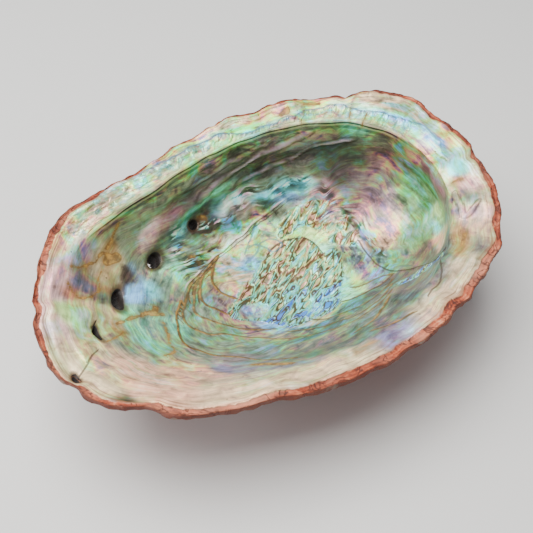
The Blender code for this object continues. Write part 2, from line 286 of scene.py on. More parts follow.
inner_frame = hole_frames(False)[0]
outer_frame, outer_along, outer_across = hole_frames(True)


def from_holes(s, phi, frames):
    """Metres along each hole's long and short way, for every station and direction."""
    gap = np.stack([s, phi], axis=-1)[..., None, :] - hole_place
    return np.einsum("hij,...hj->...hi", frames, gap)


# Cells of the face that lie within a mouth are left open, and the corners round them slide onto its oval
reach = np.linalg.norm(from_holes(station, direction, inner_frame) / (MOUTH * hole_size), axis=-1)
reach_next = np.roll(reach, -1, axis=1)
cell_reach = (reach[:-1] + reach[1:] + reach_next[:-1] + reach_next[1:]) / 4
open_cell = cell_reach.min(axis=-1) < 1.0
touching = np.zeros(station.shape, int)
for rows in (slice(0, -1), slice(1, None)):
    touching[rows] += open_cell
    touching[rows] += np.roll(open_cell, 1, axis=1)
mouth_corner = (touching > 0) & (touching < 4)
nearest_hole = reach.argmin(axis=-1)[mouth_corner]
mouth_gap = np.stack([station, direction], axis=-1)[mouth_corner] - hole_place[nearest_hole]
mouth_gap /= reach.min(axis=-1)[mouth_corner][:, None]
station[mouth_corner] = hole_place[nearest_hole, 0] + mouth_gap[:, 0]
direction[mouth_corner] = hole_place[nearest_hole, 1] + mouth_gap[:, 1]

# The outer face is drawn over round each hole, so that the hole's slant carries its mouth along
through = on_hole_row(hole_degrees, True) - on_hole_row(hole_degrees, False)
slant = unit(unit(through) + np.array(HOLE_LEAN))
facing = (slant * unit(through)).sum(-1, keepdims=True)
sideways = 0.5 * np.linalg.norm(through, axis=-1, keepdims=True) * (slant / facing - unit(through))
shift = np.stack([(sideways * outer_along).sum(-1), (sideways * outer_across).sum(-1)], axis=-1)
shift = np.linalg.solve(outer_frame, shift[..., None])[..., 0]
near = np.linalg.norm(from_holes(station, direction, outer_frame), axis=-1)
pull = np.exp(-(near / LEAN_REACH) ** 2) @ shift
pull *= step(0.0, POLE_CALM, station)[..., None]
outer_station = station + pull[..., 0]
outer_direction = direction + pull[..., 1]


# What has grown on the inner face
#
# All of it is nacre laid down by the living animal: the foot muscle's rough scar on the floor, the edges
# of its older scars, the pocket under the spire, the folds under the shelf and the lumpy lip.

SCAR_MIDDLE = (0.0115, -0.0035)
SCAR_REACH = (0.0465, 0.0380)
SCAR_RISE = 0.0011
LUMPS_RISE = 0.0007
WORM_SIZE = 0.0034             # the worm-like lumps and the broken ones: their size, and how far each is
WORM_STRETCH = 0.45            # drawn out (1 is round)
CHUNK_SIZE = 0.0046
CHUNK_STRETCH = 0.6
POCKET_MIDDLE = (0.073, 0.006)
POCKET_REACH = (0.016, 0.024)
POCKET_DEPTH = 0.0085
LEDGE_X = 0.0535
LEDGE_DROP = 0.0022
GROOVE = 0.0015                # depth of the channel that the holes lie in
FUNNEL = 0.0012                # how much deeper the channel is at each open hole
GROOVE_REACH = 0.005
FOLD_RISE = 0.0008             # the folds under the shelf, and their waves in radians per metre of height
FOLD_TURNS = 620
LIP_RISE = 0.0006              # the lip's uneven swellings
FINE_FOLD = 1.1                # the sharper folds of this skin and the bead along the crest, in millimetres
CREST_BEAD = 0.40

# Lines on the unrolled inner face, in millimetres. Edges of the muscle's older scars, from the left end
# of the floor round its near side to the point where they meet under the pocket:
GROWTH_A = ((-23.5, 31.2), (-27.8, 28.2), (-31.2, 24.3), (-33.6, 19.7), (-33.5, 16.3), (-32.2, 13.0),
            (-30.2, 10.8), (-27.4, 9.0))
GROWTH_B = ((-27.0, 30.1), (-34.2, 25.1), (-39.5, 19.9), (-43.8, 12.4), (-43.2, 8.3), (-39.2, 5.2),
            (-36.7, 1.9))
GROWTH_C = ((-37.0, 24.6), (-42.4, 19.2), (-49.7, 9.0), (-49.5, 3.0), (-45.8, -0.9), (-41.9, -4.0),
            (-38.6, -7.1), (-30.4, -10.9), (-23.3, -14.8))
GROWTH_E = ((-41.9, 22.3), (-47.5, 17.3), (-52.3, 11.6), (-55.8, 6.3), (-57.8, 0.0), (-55.0, -3.6),
            (-51.2, -6.6), (-46.2, -9.4), (-41.2, -12.4), (-37.6, -15.7), (-32.8, -18.6), (-29.5, -25.1),
            (-26.3, -28.9), (-20.9, -33.8), (-15.1, -38.7), (-9.8, -44.9), (-1.1, -47.2), (8.7, -47.2),
            (17.7, -45.4), (25.5, -38.7))
GROWTH_D = ((-52.3, 14.4), (-58.8, 7.3), (-63.4, -0.6), (-65.3, -7.2), (-65.9, -12.6), (-61.7, -16.4),
            (-58.8, -20.6), (-53.2, -24.6), (-49.5, -30.1), (-47.1, -37.4), (-43.5, -43.1), (-39.3, -49.0))
GROWTH_F = ((36.7, -19.7), (33.6, -15.7), (27.1, -14.5), (21.6, -13.4), (19.6, -10.9))
GROWTH_G = ((35.6, -20.6), (29.6, -22.3), (22.1, -22.6), (14.8, -23.2), (12.4, -23.3), (9.1, -20.5))
GROWTH_H = ((33.9, -24.3), (25.1, -31.7), (17.5, -35.2), (10.3, -36.1), (5.5, -33.2), (-1.1, -29.3),
            (-5.9, -26.8), (-7.1, -19.7))
GROWTH_I = ((30.2, -30.7), (18.2, -42.0), (9.3, -42.7), (0.5, -41.7), (-5.1, -36.5), (-9.5, -34.2),
            (-14.3, -29.2), (-19.0, -24.1), (-21.0, -22.0))
GROWTH_J = ((20.6, -45.3), (8.4, -52.8), (-1.4, -56.1), (-11.1, -55.7))
GROWTH_K = ((13.1, -69.9), (4.1, -69.4), (-3.5, -66.4), (-8.5, -64.2))
SCAR_EDGE = ((28.0, 43.2), (19.3, 42.9), (12.4, 41.8), (1.1, 39.8), (-9.4, 36.3), (-13.9, 34.6),
             (-20.9, 32.7), (-28.4, 29.6), (-33.2, 27.3), (-37.0, 24.6), (-42.4, 22.6), (-48.3, 18.1),
             (-53.7, 13.9))
# The pocket's brow and wall, the folds under the shelf, and the crease by the smallest hole
SEPTUM = ((37.9, 8.9), (36.8, 1.1), (36.2, -7.5), (36.7, -14.6), (37.6, -19.0), (40.7, -27.2),
          (46.4, -31.5), (54.1, -38.3), (56.3, -42.4))
OLIVE_LINE = ((51.2, -44.8), (44.2, -55.5), (36.6, -61.2), (25.7, -65.7))
FOLD_A = ((68.6, 47.0), (61.7, 50.5), (54.0, 53.7), (44.6, 58.5), (38.9, 57.8), (33.5, 57.1), (28.6, 58.8),
          (19.7, 59.3), (9.8, 59.9), (0.2, 59.8), (-6.0, 57.2))
FOLD_B = ((51.2, 63.3), (44.5, 65.6), (33.3, 67.1), (21.7, 67.7), (9.4, 68.4), (0.2, 65.5), (-9.0, 64.8),
          (-13.2, 63.0), (-22.6, 59.7), (-31.1, 56.4))
FOLD_C = ((26.7, 70.3), (15.2, 71.8), (2.9, 71.5), (-6.3, 71.4), (-13.1, 69.6), (-21.6, 66.8),
          (-32.5, 65.3), (-37.3, 61.5))
PLEAT = ((86, -16), (80, -29), (76, -37), (81, -35), (90, -30))
CREASE = ((-103.6, -7.7), (-107.9, -11.3), (-112.4, -14.9), (-117.1, -19.4))

# Stains on the lip and beside the holes: half their breadth, then the line they lie along
STAINS = (
    (0.6, ((-97.8, 33.4), (-93.7, 33.2), (-88.7, 34.6), (-84.6, 35.5), (-81.9, 38.6), (-79.1, 39.4),
           (-76.7, 37.1), (-72.9, 35.0))),
    (2.3, ((-78.0, 35.6), (-73.6, 36.8))),
    (0.8, ((-72.1, 50.4), (-74.2, 46.3), (-75.3, 43.7), (-77.7, 41.1))),
    (0.55, ((-82.7, 32.2), (-85.9, 28.5), (-86.3, 24.5), (-90.2, 21.1), (-94.5, 19.9), (-98.7, 19.5),
            (-101.4, 27.2))),
    (0.9, ((-87.4, 6.1), (-80.3, 8.3), (-74.6, 9.1), (-71.4, 9.6))),
    (1.5, ((-70.0, 9.6), (-67.5, 9.4), (-66.3, 12.2))),
    (1.3, ((-67.5, 9.4), (-65.0, 8.2))),
    (0.5, ((-67.8, 5.4), (-67.5, 1.3), (-70.8, -6.2), (-72.4, -9.7), (-72.1, -15.3), (-78.3, -15.8))),
    (0.5, ((-99.6, -4.6), (-93.0, -1.6), (-88.6, 1.0))),
    (0.4, ((-36.3, 34.1), (-33.4, 32.5), (-33.9, 28.0))),
    (1.0, ((-25.5, 49.5), (-23.0, 48.5))),
    (1.7, ((36.0, 81.5), (40.5, 81.5))),
    (0.8, ((50.0, 79.5), (58.5, 76.0))),
    (0.6, ((72.8, 63.2), (68.7, 57.9))),
    (0.6, ((78.5, 55.0), (73.0, 50.7))),
    (0.5, ((48.1, 76.8), (44.1, 71.4))),
    (1.3, ((-52.5, -39.5), (-48.0, -46.5), (-44.5, -53.0))),
    (0.8, ((88.0, -12.0), (91.5, -13.5))),
    (0.7, ((62.0, -49.0), (68.5, -44.0))))

# Blue-edged loops in the scar, the jagged line along the shelf, and the arch over the lumps
SCAR_LOOPS = (((-0.4, 38.1), (-5.6, 33.8), (-10.2, 28.7)),
              ((-7.7, 30.1), (-5.0, 30.7), (-2.9, 29.9), (-2.8, 28.0), (-6.4, 26.0), (-12.7, 24.3)),
              ((-2.3, 29.0), (-1.6, 30.2), (1.7, 30.3), (5.4, 29.4), (7.8, 26.2), (5.8, 24.1), (1.3, 23.5),
               (0.2, 26.7), (-2.3, 29.0)))
SHELF_LINE = ((95.5, 2.6), (98.4, 22.3), (95.4, 33.6), (89.2, 43.0), (83.3, 51.0), (78.3, 55.9),
              (72.8, 63.2), (65.6, 70.6), (49.0, 76.2), (38.5, 78.3), (23.7, 80.7), (10.3, 81.2),
              (-6.2, 86.4), (-26.2, 84.0), (-38.0, 80.6), (-50.1, 76.9), (-61.5, 72.0))
ARCH = ((-4.0, 21.6), (1.7, 25.7), (7.6, 26.7), (13.4, 25.5), (19.6, 22.7), (21.0, 17.3), (21.1, 12.6))

# Outlines of the scar's field of worm-like lumps, of the smooth lens in it, of the broken lumps above it
# and of the small field near the pocket
WORMS = ((-4.0, 21.6), (1.7, 25.7), (7.6, 26.7), (13.4, 25.5), (19.6, 22.7), (21.0, 17.3), (20.2, 11.4),
         (25.1, 12.9), (28.1, 11.0), (25.5, 4.8), (22.3, -2.8), (15.8, -7.0), (10.0, -13.1), (10.3, -19.7),
         (1.5, -24.3), (-4.9, -22.1), (-12.0, -19.2), (-18.1, -19.5), (-20.1, -10.7), (-26.1, -5.2),
         (-32.8, -2.9), (-36.6, -0.1), (-33.8, 4.6), (-26.1, 10.0), (-18.9, 14.4), (-10.8, 18.3),
         (-4.0, 21.6))
LENS = ((-34.0, -1.5), (-28.7, 4.0), (-22.6, 4.9), (-17.4, 3.6), (-15.0, 0.2), (-17.7, -3.4), (-22.7, -4.9),
        (-28.7, -4.3), (-34.0, -1.5))
CHUNKS = ((7.8, 31.4), (12.1, 35.1), (18.4, 37.3), (26.2, 37.4), (33.8, 35.9), (38.7, 31.3), (41.8, 25.2),
          (41.8, 19.3), (40.9, 13.3), (39.1, 7.6), (35.2, 7.3), (31.2, 11.1), (27.3, 16.3), (28.1, 20.7),
          (24.5, 26.7), (19.4, 29.0), (13.1, 27.7), (8.4, 27.9), (7.8, 31.4))
TAIL = ((30.0, -33.5), (36.0, -34.5), (44.0, -34.0), (53.0, -37.0), (56.0, -42.0), (47.0, -41.5),
        (38.0, -41.0), (31.0, -38.5), (30.0, -33.5))
LUMP_TURN = np.radians(31)     # the way that the lumps lie, from +x towards +y

# Small rises (+) and pits (-) on the unrolled face: place, radius and height, all in millimetres
BUMPS = ((-114, 14, 4.0, 0.8), (-97, 24, 3.0, -0.7), (-94, 20, 2.2, 0.5), (91, 61, 1.8, -0.8),
         (106, 17, 1.5, -0.8), (107, 4, 1.6, -0.9), (104, -4, 2.4, -1.0), (32, 3, 1.0, -0.9),
         (-110, -24, 5.0, 0.7), (-99, -36, 6.0, 0.6), (-64, -60, 7.0, 0.5), (-35, -74, 6.0, 0.5),
         (-88, -50, 5.0, -0.5), (60, -58, 6.0, 0.5), (88, -30, 5.0, 0.5), (-78, 24, 7.0, -0.6))

# Where the nacre ends and the red outer layer shows, as a station every 15 degrees
NACRE_END = np.array([
    1.92, 1.89, 1.92, 1.95, 1.95, 1.95, 1.95, 1.95, 1.94, 1.92, 1.82, 1.76,
    1.87, 1.85, 1.77, 1.77, 1.74, 1.75, 1.76, 1.76, 1.78, 1.85, 1.88, 1.89])
NACRE_THICK = 0.0004           # the step down from the nacre onto the red layer


def smooth_line(corners, rounds=2):
    """The corners joined by a curve: each round cuts every corner at a quarter and three quarters."""
    line = np.array(corners, float)
    for _ in range(rounds):
        cut = np.stack([0.75 * line[:-1] + 0.25 * line[1:], 0.25 * line[:-1] + 0.75 * line[1:]], axis=1)
        line = np.concatenate([line[:1], cut.reshape(-1, 2), line[-1:]])
    return line


def beside_lines(places, *lines):
    """Distance from each unrolled place to the nearest of several curves, in millimetres: plus on the
    curve's left, minus on its right."""
    nearest = np.full(places.shape[:-1], np.inf)
    for corners in lines:
        line = smooth_line(corners)
        for start, end in zip(line[:-1], line[1:]):
            run = end - start
            gap = places - start
            share = np.clip((gap @ run) / (run @ run + 1e-9), 0, 1)
            side = np.where(run[0] * gap[..., 1] > run[1] * gap[..., 0], 1.0, -1.0)
            distance = side * np.hypot(gap[..., 0] - share * run[0], gap[..., 1] - share * run[1])
            nearest = np.where(np.abs(distance) < np.abs(nearest), distance, nearest)
    return nearest


def nearer(first, second):
    """Of two signed distances, the one to the nearer curve."""
    return np.where(np.abs(first) < np.abs(second), first, second)


def line_glow(places, corners, width, fade=9.0):
    """A soft bell curve across a line, fading out towards the line's two ends."""
    ends = distance_to(places, (corners[0], corners[-1]))
    return np.exp(-(beside_lines(places, corners) / width) ** 2) * step(0.0, fade, ends)


def depth_inside(places, outline):
    """How deep each place lies inside a closed outline, in millimetres; minus outside it. Inside is where
    the outline turns once round the place."""
    line = smooth_line(outline)
    ring = line[:, 0] + 1j * line[:, 1]
    spot = (places[..., 0] + 1j * places[..., 1])[..., None]
    turns = np.angle((ring[1:] - spot) / (ring[:-1] - spot)).sum(-1)
    return np.where(np.abs(turns) > np.pi, 1, -1) * np.abs(beside_lines(places, outline))


# Curves wander a little, so every distance is read at places shaken by soft noise, in millimetres
LINE_WANDER = 0.7
STAIN_WANDER = 1.2
FOLD_WANDER = 1.2
SHELF_WANDER = 1.6
FIELD_WANDER = 1.4
flat_places = np.concatenate([unrolled, np.zeros(station.shape + (1,))], axis=-1)
wander = np.stack([fractal(flat_places, 7.0, 3, 11), fractal(flat_places, 7.0, 3, 21)], axis=-1)
shaken = unrolled + LINE_WANDER * wander
by_strong = beside_lines(shaken, GROWTH_A, GROWTH_B, GROWTH_D, GROWTH_G)
by_faint = beside_lines(shaken, GROWTH_C, GROWTH_E, GROWTH_F, GROWTH_H, GROWTH_I, GROWTH_J, GROWTH_K)
by_gold = nearer(by_strong, by_faint)
stained = unrolled + STAIN_WANDER * wander
in_stain = np.max([width - np.abs(beside_lines(stained, line)) for width, line in STAINS], axis=0)
by_scar = beside_lines(shaken, SCAR_EDGE)
by_septum = beside_lines(shaken, SEPTUM)
by_crease = beside_lines(shaken, CREASE)
by_dark = nearer(nearer(by_septum, by_crease), beside_lines(shaken, OLIVE_LINE, ARCH))
by_loop = beside_lines(shaken, *SCAR_LOOPS)
by_shelf = beside_lines(unrolled + SHELF_WANDER * wander, SHELF_LINE)
creased = unrolled + FOLD_WANDER * wander
fold = np.max([
    line_glow(creased, FOLD_A, 0.9), line_glow(creased, FOLD_B, 1.2), 0.7 * line_glow(creased, FOLD_C, 1.1),
    0.8 * line_glow(creased, PLEAT, 0.9, 5.0)], axis=0)

# How deep each place lies in the fields of lumps, their outlines ragged
ragged = unrolled + FIELD_WANDER * wander
in_worms = np.minimum(depth_inside(ragged, WORMS), -depth_inside(ragged, LENS))
in_worms = np.maximum(in_worms, depth_inside(ragged, TAIL))
in_chunks = depth_inside(ragged, CHUNKS)


def ridge(gap, width):
    """A ridge of height 1 that falls off over width, in the same unit as the gap."""
    return np.exp(-(gap / width) ** 2)


def ridged_noise(places, size, seed):
    """Creased noise: 1 along winding lines, falling to 0 between them."""
    return 1 - np.abs(fractal(places, size, 2, seed))


def relief_inside(p, s, phi):
    """How far the inner face is raised or sunk: the sum of everything that has grown on it."""
    x, y = p[..., 0], p[..., 1]
    turn = np.degrees(phi)
    scar = np.hypot((x - SCAR_MIDDLE[0]) / SCAR_REACH[0], (y - SCAR_MIDDLE[1]) / SCAR_REACH[1])
    rise = SCAR_RISE * step(1.06, 0.94, scar + 0.03 * fractal(p, 0.012, 2, 5))
    along = x * np.cos(LUMP_TURN) + y * np.sin(LUMP_TURN)
    across = y * np.cos(LUMP_TURN) - x * np.sin(LUMP_TURN)
    worms = ridged_noise(np.stack([WORM_STRETCH * along, across, p[..., 2]], axis=-1), WORM_SIZE, 41) - 0.72
    worms = 1.5 * worms + 0.5 * fractal(p, 0.009, 2, 47)
    chunks = 1.5 * fractal(np.stack([CHUNK_STRETCH * along, across, p[..., 2]], axis=-1), CHUNK_SIZE, 2, 43)
    rise = rise + LUMPS_RISE * (step(-1, 1.5, in_worms) * worms + step(-1, 2, in_chunks) * chunks)
    ledge = step(LEDGE_X - 0.002, LEDGE_X + 0.002, x) * step(1.04, 0.9, s) * step(0.045, 0.020, y)
    rise = rise - LEDGE_DROP * ledge
    rise = rise - POCKET_DEPTH * mound(x, y, POCKET_MIDDLE, POCKET_REACH) * step(1.0, 0.93, s)
    rise = rise - GROOVE * ridge(distance_to(p, hole_row(False)), GROOVE_REACH)
    rise = rise - FUNNEL * ridge(distance_to(p, on_hole_row(hole_degrees, False)), GROOVE_REACH)
    folds = step(0.80, 0.88, s) * step(1.0, 0.97, s) * step(35, 55, turn) * step(150, 125, turn)
    rise = rise + FOLD_RISE * folds * np.sin(-p[..., 2] * FOLD_TURNS + 0.8 * np.sin(4 * phi))
    lip = step(0.75, 1.0, s) * step(2.0, 1.7, s)
    rise = rise + LIP_RISE * lip * np.sin(9 * phi + 6 * s) * np.sin(13 * phi - 4 * s + 1)
    # Finer forms that only this skin carries. Low ridges (+) and cuts (-): gap to the line, height, width
    millimetres = FINE_FOLD * fold
    for gap, height, width in (
            (by_scar, 0.42, 0.9), (by_strong, 0.20, 0.7), (by_faint, 0.14, 0.6),
            (by_septum - 0.8, 0.55, 1.2), (by_crease, -0.8, 1.1), (by_shelf, 0.25, 0.8)):
        millimetres += height * ridge(gap, width)
    for middle_u, middle_v, radius, height in BUMPS:
        gap = np.hypot(unrolled[..., 0] - middle_u, unrolled[..., 1] - middle_v)
        millimetres += height * ridge(gap, radius)
    shelf_side = step(10, 28, turn) * step(165, 135, turn)
    millimetres += CREST_BEAD * shelf_side * ridge((s - 1.02) * 30, 1.0)
    lip_side = step(0.8, 1.1, s)
    millimetres += (0.22 + 0.25 * lip_side) * fractal(p, 0.011, 3, 51) + 0.05 * fractal(p, 0.0035, 2, 57)
    return rise + millimetres / 1000


def nacre_margin(s, phi, p):
    """Millimetres from the nacre's edge, plus inside it, with the wavering of a worn edge."""
    band = (rim_radius(phi) - around(CREST, phi)) * 1000
    return (around(NACRE_END, phi) - s) * band + 1.3 * fractal(p, 0.006, 3, 61)


# What has grown on the outer face
#
# The red layer was laid down in bands at the rim, so it carries growth ledges all the way round the low
# coiled spire, with weak cords across them, knobs over the row of holes, and a crust of old sea life.

SPIRE = (0.070, 0.008)
SPIRE_RADIUS = 0.020
SPIRE_RISE = 0.0090
WHORL_RATIO = 2.3              # how much wider each turn of the spire is than the one before
SUTURE = 0.0022
GROWTH_STEP = 0.013            # spacing of the broad growth swellings
GROWTH_RISE = 0.0007
GROWTH_WANDER = 0.002          # how far the swellings stray from true circles
FINE_GROWTH = 0.0033           # spacing of the fine growth ledges
CORD_RISE = 0.0006             # the weak cords that cross the swellings
CORDS = 11
CORD_TWIST = 40                # how much the cords curve, in radians per metre
FINE_CORDS = 46
FINE_CORD_TWIST = 60
ROW_SWELL = 0.0020             # how far the shell bulges out along the row of holes
ROW_SWELL_REACH = 0.0075
TUBERCLE = 0.0022              # how far each hole's knob stands up
TUBERCLE_REACH = 0.0052
LEDGE_CUT = 0.45               # how deep the ledges, fine cords and wear sink in, in millimetres
FINE_CORD_CUT = 0.30
WEAR_CUT = 0.55
# Knobs that the shell rests on: their place and height
REST_KNOBS = ((0.047, 0.003, 0.0022), (0.000, 0.017, 0.0058), (0.001, -0.015, 0.0048))
KNOB_RADIUS = 0.0105


def growth_outward(p):
    """Distance from the spire's tip in plan, wavering as the growth lines do."""
    x, y = p[..., 0] - SPIRE[0], p[..., 1] - SPIRE[1]
    return np.hypot(x, y) + 0.0012 * fractal(p, 0.022, 3, 71)


def from_rest(p):
    """Distance in plan to the nearest of the places that the shell rests on."""
    return distance_to(p[..., :2], [(knob[0], knob[1]) for knob in REST_KNOBS])


def relief_outside(p, s, phi):
    """How far the outer face is raised: spire, knobs and swellings as the solid has them, then ledges,
    cords and crust, which only sink into it."""
    x, y = p[..., 0], p[..., 1]
    from_apex = np.hypot(x - SPIRE[0], y - SPIRE[1])
    around_apex = np.arctan2(y - SPIRE[1], x - SPIRE[0])
    below_rim = step(2.0, 1.6, s)
    rise = SPIRE_RISE * np.exp(-(from_apex / SPIRE_RADIUS) ** 2) * step(1.35, 0.95, s)
    turns = np.log(np.maximum(from_apex, 0.003) / SPIRE_RADIUS) / np.log(WHORL_RATIO)
    seam = (turns - around_apex / (2 * np.pi) + 0.5) % 1.0 - 0.5
    rise = rise - SUTURE * np.exp(-(seam / 0.13) ** 2) * step(0.036, 0.022, from_apex) * below_rim
    rise = rise + ROW_SWELL * ridge(distance_to(p, hole_row(True)), ROW_SWELL_REACH) * step(2.0, 1.5, s)
    knobs = on_hole_row([hole[0] for hole in OPEN_HOLES[:-1]] + list(CLOSED_HOLES), True)
    rise = rise + TUBERCLE * ridge(distance_to(p, knobs), TUBERCLE_REACH)
    outward = from_apex + GROWTH_WANDER * np.sin(5 * around_apex)
    away = step(0.02, 0.05, from_apex)
    rise = rise + GROWTH_RISE * np.sin(2 * np.pi * outward / GROWTH_STEP) * below_rim * away
    cords = np.sin(CORDS * around_apex + CORD_TWIST * from_apex)
    rise = rise + CORD_RISE * cords * below_rim * step(0.03, 0.07, from_apex)
    for knob_x, knob_y, height in REST_KNOBS:
        rise = rise + height * mound(x, y, (knob_x, knob_y), (KNOB_RADIUS, KNOB_RADIUS))
    # Finer forms that only this skin carries, none of them standing above the solid
    clear = step(0.004, 0.009, from_rest(p))
    ledge = (growth_outward(p) / FINE_GROWTH) % 1.0
    millimetres = -LEDGE_CUT * (1 - ledge) ** 2 * (0.5 + 0.5 * value_noise(p / 0.016, 81))
    fine_cords = np.sin(FINE_CORDS * around_apex + FINE_CORD_TWIST * from_apex)
    millimetres += -FINE_CORD_CUT * (0.5 + 0.5 * fine_cords) * away
    millimetres += -WEAR_CUT * (0.5 + 0.5 * fractal(p, 0.007, 3, 83))
    return rise + clear * millimetres / 1000


# The skin
#
# Both faces and the blunt broken edge between them are one closed grid of rings, from the pole inside up
# over the rim and down to the pole outside. The holes are left open in it and lined with their own walls.

CHIP_RISE = 0.0007             # chips of the broken edge: height, size, and how far they bite on the whole
CHIP_SIZE = 0.0028
CHIP_BITE = 0.0004


def normals_of(grid):
    """Outward direction at each point of a closed grid of rings (rows) and directions (columns)."""
    along = np.roll(grid, -1, axis=1) - np.roll(grid, 1, axis=1)
    across = np.gradient(grid, axis=0)
    normals = np.cross(across, along)
    normals[0] = (0, 0, 1)
    normals[-1] = (0, 0, -1)
    return unit(normals)


inside = surface(station, direction, False)
outside = surface(outer_station, outer_direction, True)[::-1]
for _ in range(SMOOTHING):
    outside[1:-1] = 0.25 * outside[:-2] + 0.5 * outside[1:-1] + 0.25 * outside[2:]
outside_s = outer_station[::-1]
outside_phi = outer_direction[::-1]

# The edge bulges out as half an oval, chipped by noise
outward = np.stack([np.cos(column_phi), np.sin(column_phi), 0 * column_phi], axis=-1)
lap = np.pi * np.arange(1, EDGE_RINGS + 1)[:, None, None] / (EDGE_RINGS + 1)
middle = 0.5 * (inside[-1] + outside[0])
edge = middle + np.cos(lap) * (inside[-1] - middle) + RIM_ROUND * np.sin(lap) ** 0.6 * outward
skin = np.concatenate([inside, edge, outside])
normals = normals_of(skin)
inner_count = len(inside)
outer_start = inner_count + EDGE_RINGS
rise_in = relief_inside(inside, station, direction)
rise_out = relief_outside(outside, outside_s, outside_phi)
margin = nacre_margin(station, direction, inside)
rise_in -= NACRE_THICK * step(0.5, -0.3, margin)
chips = CHIP_RISE * fractal(skin, CHIP_SIZE, 3, 91) - CHIP_BITE
at_rim = np.concatenate([step(0.2, -1.0, margin), np.ones(edge.shape[:2]), step(1.75, 2.0, outside_s)])
rise = np.concatenate([rise_in, np.zeros(edge.shape[:2]), rise_out])
rise = rise + at_rim * chips
rise[0] = rise[0].mean()
rise[-1] = rise[-1].mean()
skin = skin + normals * rise[..., None]

# From the shell's frame to how it rests: tilted, its middle over the origin, worn flat on the table
turned_y = skin[..., 1] * np.cos(TILT) - skin[..., 2] * np.sin(TILT) - SHELL_MIDDLE[1]
turned_z = skin[..., 1] * np.sin(TILT) + skin[..., 2] * np.cos(TILT) + RIM_HEIGHT
placed = np.stack([skin[..., 0] - SHELL_MIDDLE[0], turned_y, np.maximum(turned_z, 0.0)], axis=-1)

# Corners round the holes, and the rings of the hole walls between the inner and the outer mouth
ring_count = len(placed)
row_of, column_of = np.nonzero(mouth_corner)
mouth_inner = row_of * DIRECTIONS + column_of
mouth_outer = (ring_count - 1 - row_of) * DIRECTIONS + column_of
points = placed.reshape(-1, 3)
hole_of = nearest_hole
share = np.array([[1.0 / (hole_of == number).sum() if hole == number else 0.0 for hole in hole_of]
                  for number in range(len(OPEN_HOLES))])
centre_inner = (share @ points[mouth_inner])[hole_of]
centre_outer = (share @ points[mouth_outer])[hole_of]
lining = [
    (1 - far) * (centre_inner + (points[mouth_inner] - centre_inner) * swell / MOUTH)
    + far * (centre_outer + (points[mouth_outer] - centre_outer) * swell / MOUTH)
    for far, swell in zip(HOLE_THROUGH, HOLE_SWELL)]
vertices = np.concatenate([points] + lining)

# Four-cornered cells between neighbouring rings and directions, left out where a hole is open
cells_open = np.zeros((ring_count - 1, DIRECTIONS), bool)
cells_open[:inner_count - 1] = open_cell
cells_open[outer_start:] = open_cell[::-1]
cells_open[0] = True
cells_open[-1] = True
ring_index, column_index = np.nonzero(~cells_open)
next_column = (column_index + 1) % DIRECTIONS
faces = np.stack([
    ring_index * DIRECTIONS + column_index,
    (ring_index + 1) * DIRECTIONS + column_index,
    (ring_index + 1) * DIRECTIONS + next_column,
    ring_index * DIRECTIONS + next_column], axis=-1)
is_crust = ring_index >= inner_count

# Fans round the two poles, each of which is one corner
columns = np.arange(DIRECTIONS)
turn_on = (columns + 1) % DIRECTIONS
inner_pole, outer_pole = 0, (ring_count - 1) * DIRECTIONS
fan_in = np.stack([inner_pole + 0 * columns, DIRECTIONS + columns, DIRECTIONS + turn_on], axis=-1)
last = (ring_count - 2) * DIRECTIONS
fan_out = np.stack([last + columns, outer_pole + 0 * columns, last + turn_on], axis=-1)

# The linings: every edge between a kept and an open cell of the inner face starts a strip through the wall
open_rows, open_columns = np.nonzero(open_cell)
padded = np.pad(open_cell, ((1, 1), (0, 0)))
east = (open_columns + 1) % DIRECTIONS
west = (open_columns - 1) % DIRECTIONS
corner = open_rows * DIRECTIONS + open_columns
corner_east = open_rows * DIRECTIONS + east
strip_edges = np.concatenate([
    np.stack([corner + DIRECTIONS, corner], -1)[~open_cell[open_rows, west]],
    np.stack([corner_east, corner_east + DIRECTIONS], -1)[~open_cell[open_rows, east]],
    np.stack([corner, corner_east], -1)[~padded[open_rows, open_columns]],
    np.stack([corner_east + DIRECTIONS, corner + DIRECTIONS], -1)[~padded[open_rows + 2, open_columns]]])
place_of = np.full(ring_count * DIRECTIONS, -1)
place_of[mouth_inner] = np.arange(len(mouth_inner))
ends = place_of[strip_edges]
levels = [mouth_inner]
for number in range(len(lining)):
    levels.append(len(points) + number * len(mouth_inner) + np.arange(len(mouth_inner)))
levels.append(mouth_outer)
first, second = ends.T
strips = [
    np.stack([near_level[second], near_level[first], far_level[first], far_level[second]], axis=-1)
    for near_level, far_level in zip(levels[:-1], levels[1:])]
faces = np.concatenate([faces] + strips)
strip_crust = [np.full(len(strip), number > NACRE_STRIPS) for number, strip in enumerate(strips)]
is_crust = np.concatenate([is_crust] + strip_crust)

# Corners that no face uses are dropped and the rest renumbered
used = np.zeros(len(vertices), bool)
used[faces] = True
used[fan_in] = True
used[fan_out] = True
renumber = np.cumsum(used) - 1
triangles = renumber[np.concatenate([fan_in, fan_out])]
faces = renumber[faces]
mesh = bpy.data.meshes.new("shell")
mesh.vertices.add(int(used.sum()))
mesh.vertices.foreach_set("co", vertices[used].ravel())
mesh.loops.add(triangles.size + faces.size)
mesh.loops.foreach_set("vertex_index", np.concatenate([triangles.ravel(), faces.ravel()]))
mesh.polygons.add(len(triangles) + len(faces))
loop_start = np.concatenate([np.arange(len(triangles)) * 3, triangles.size + np.arange(len(faces)) * 4])
mesh.polygons.foreach_set("loop_start", loop_start)
material_of = np.concatenate([np.zeros(DIRECTIONS, int), np.ones(DIRECTIONS, int), is_crust.astype(int)])
mesh.polygons.foreach_set("material_index", material_of)
mesh.update(calc_edges=True)
mesh.validate()
mesh.shade_smooth()
shell = bpy.data.objects.new("abalone_shell", mesh)
bpy.context.scene.collection.objects.link(shell)


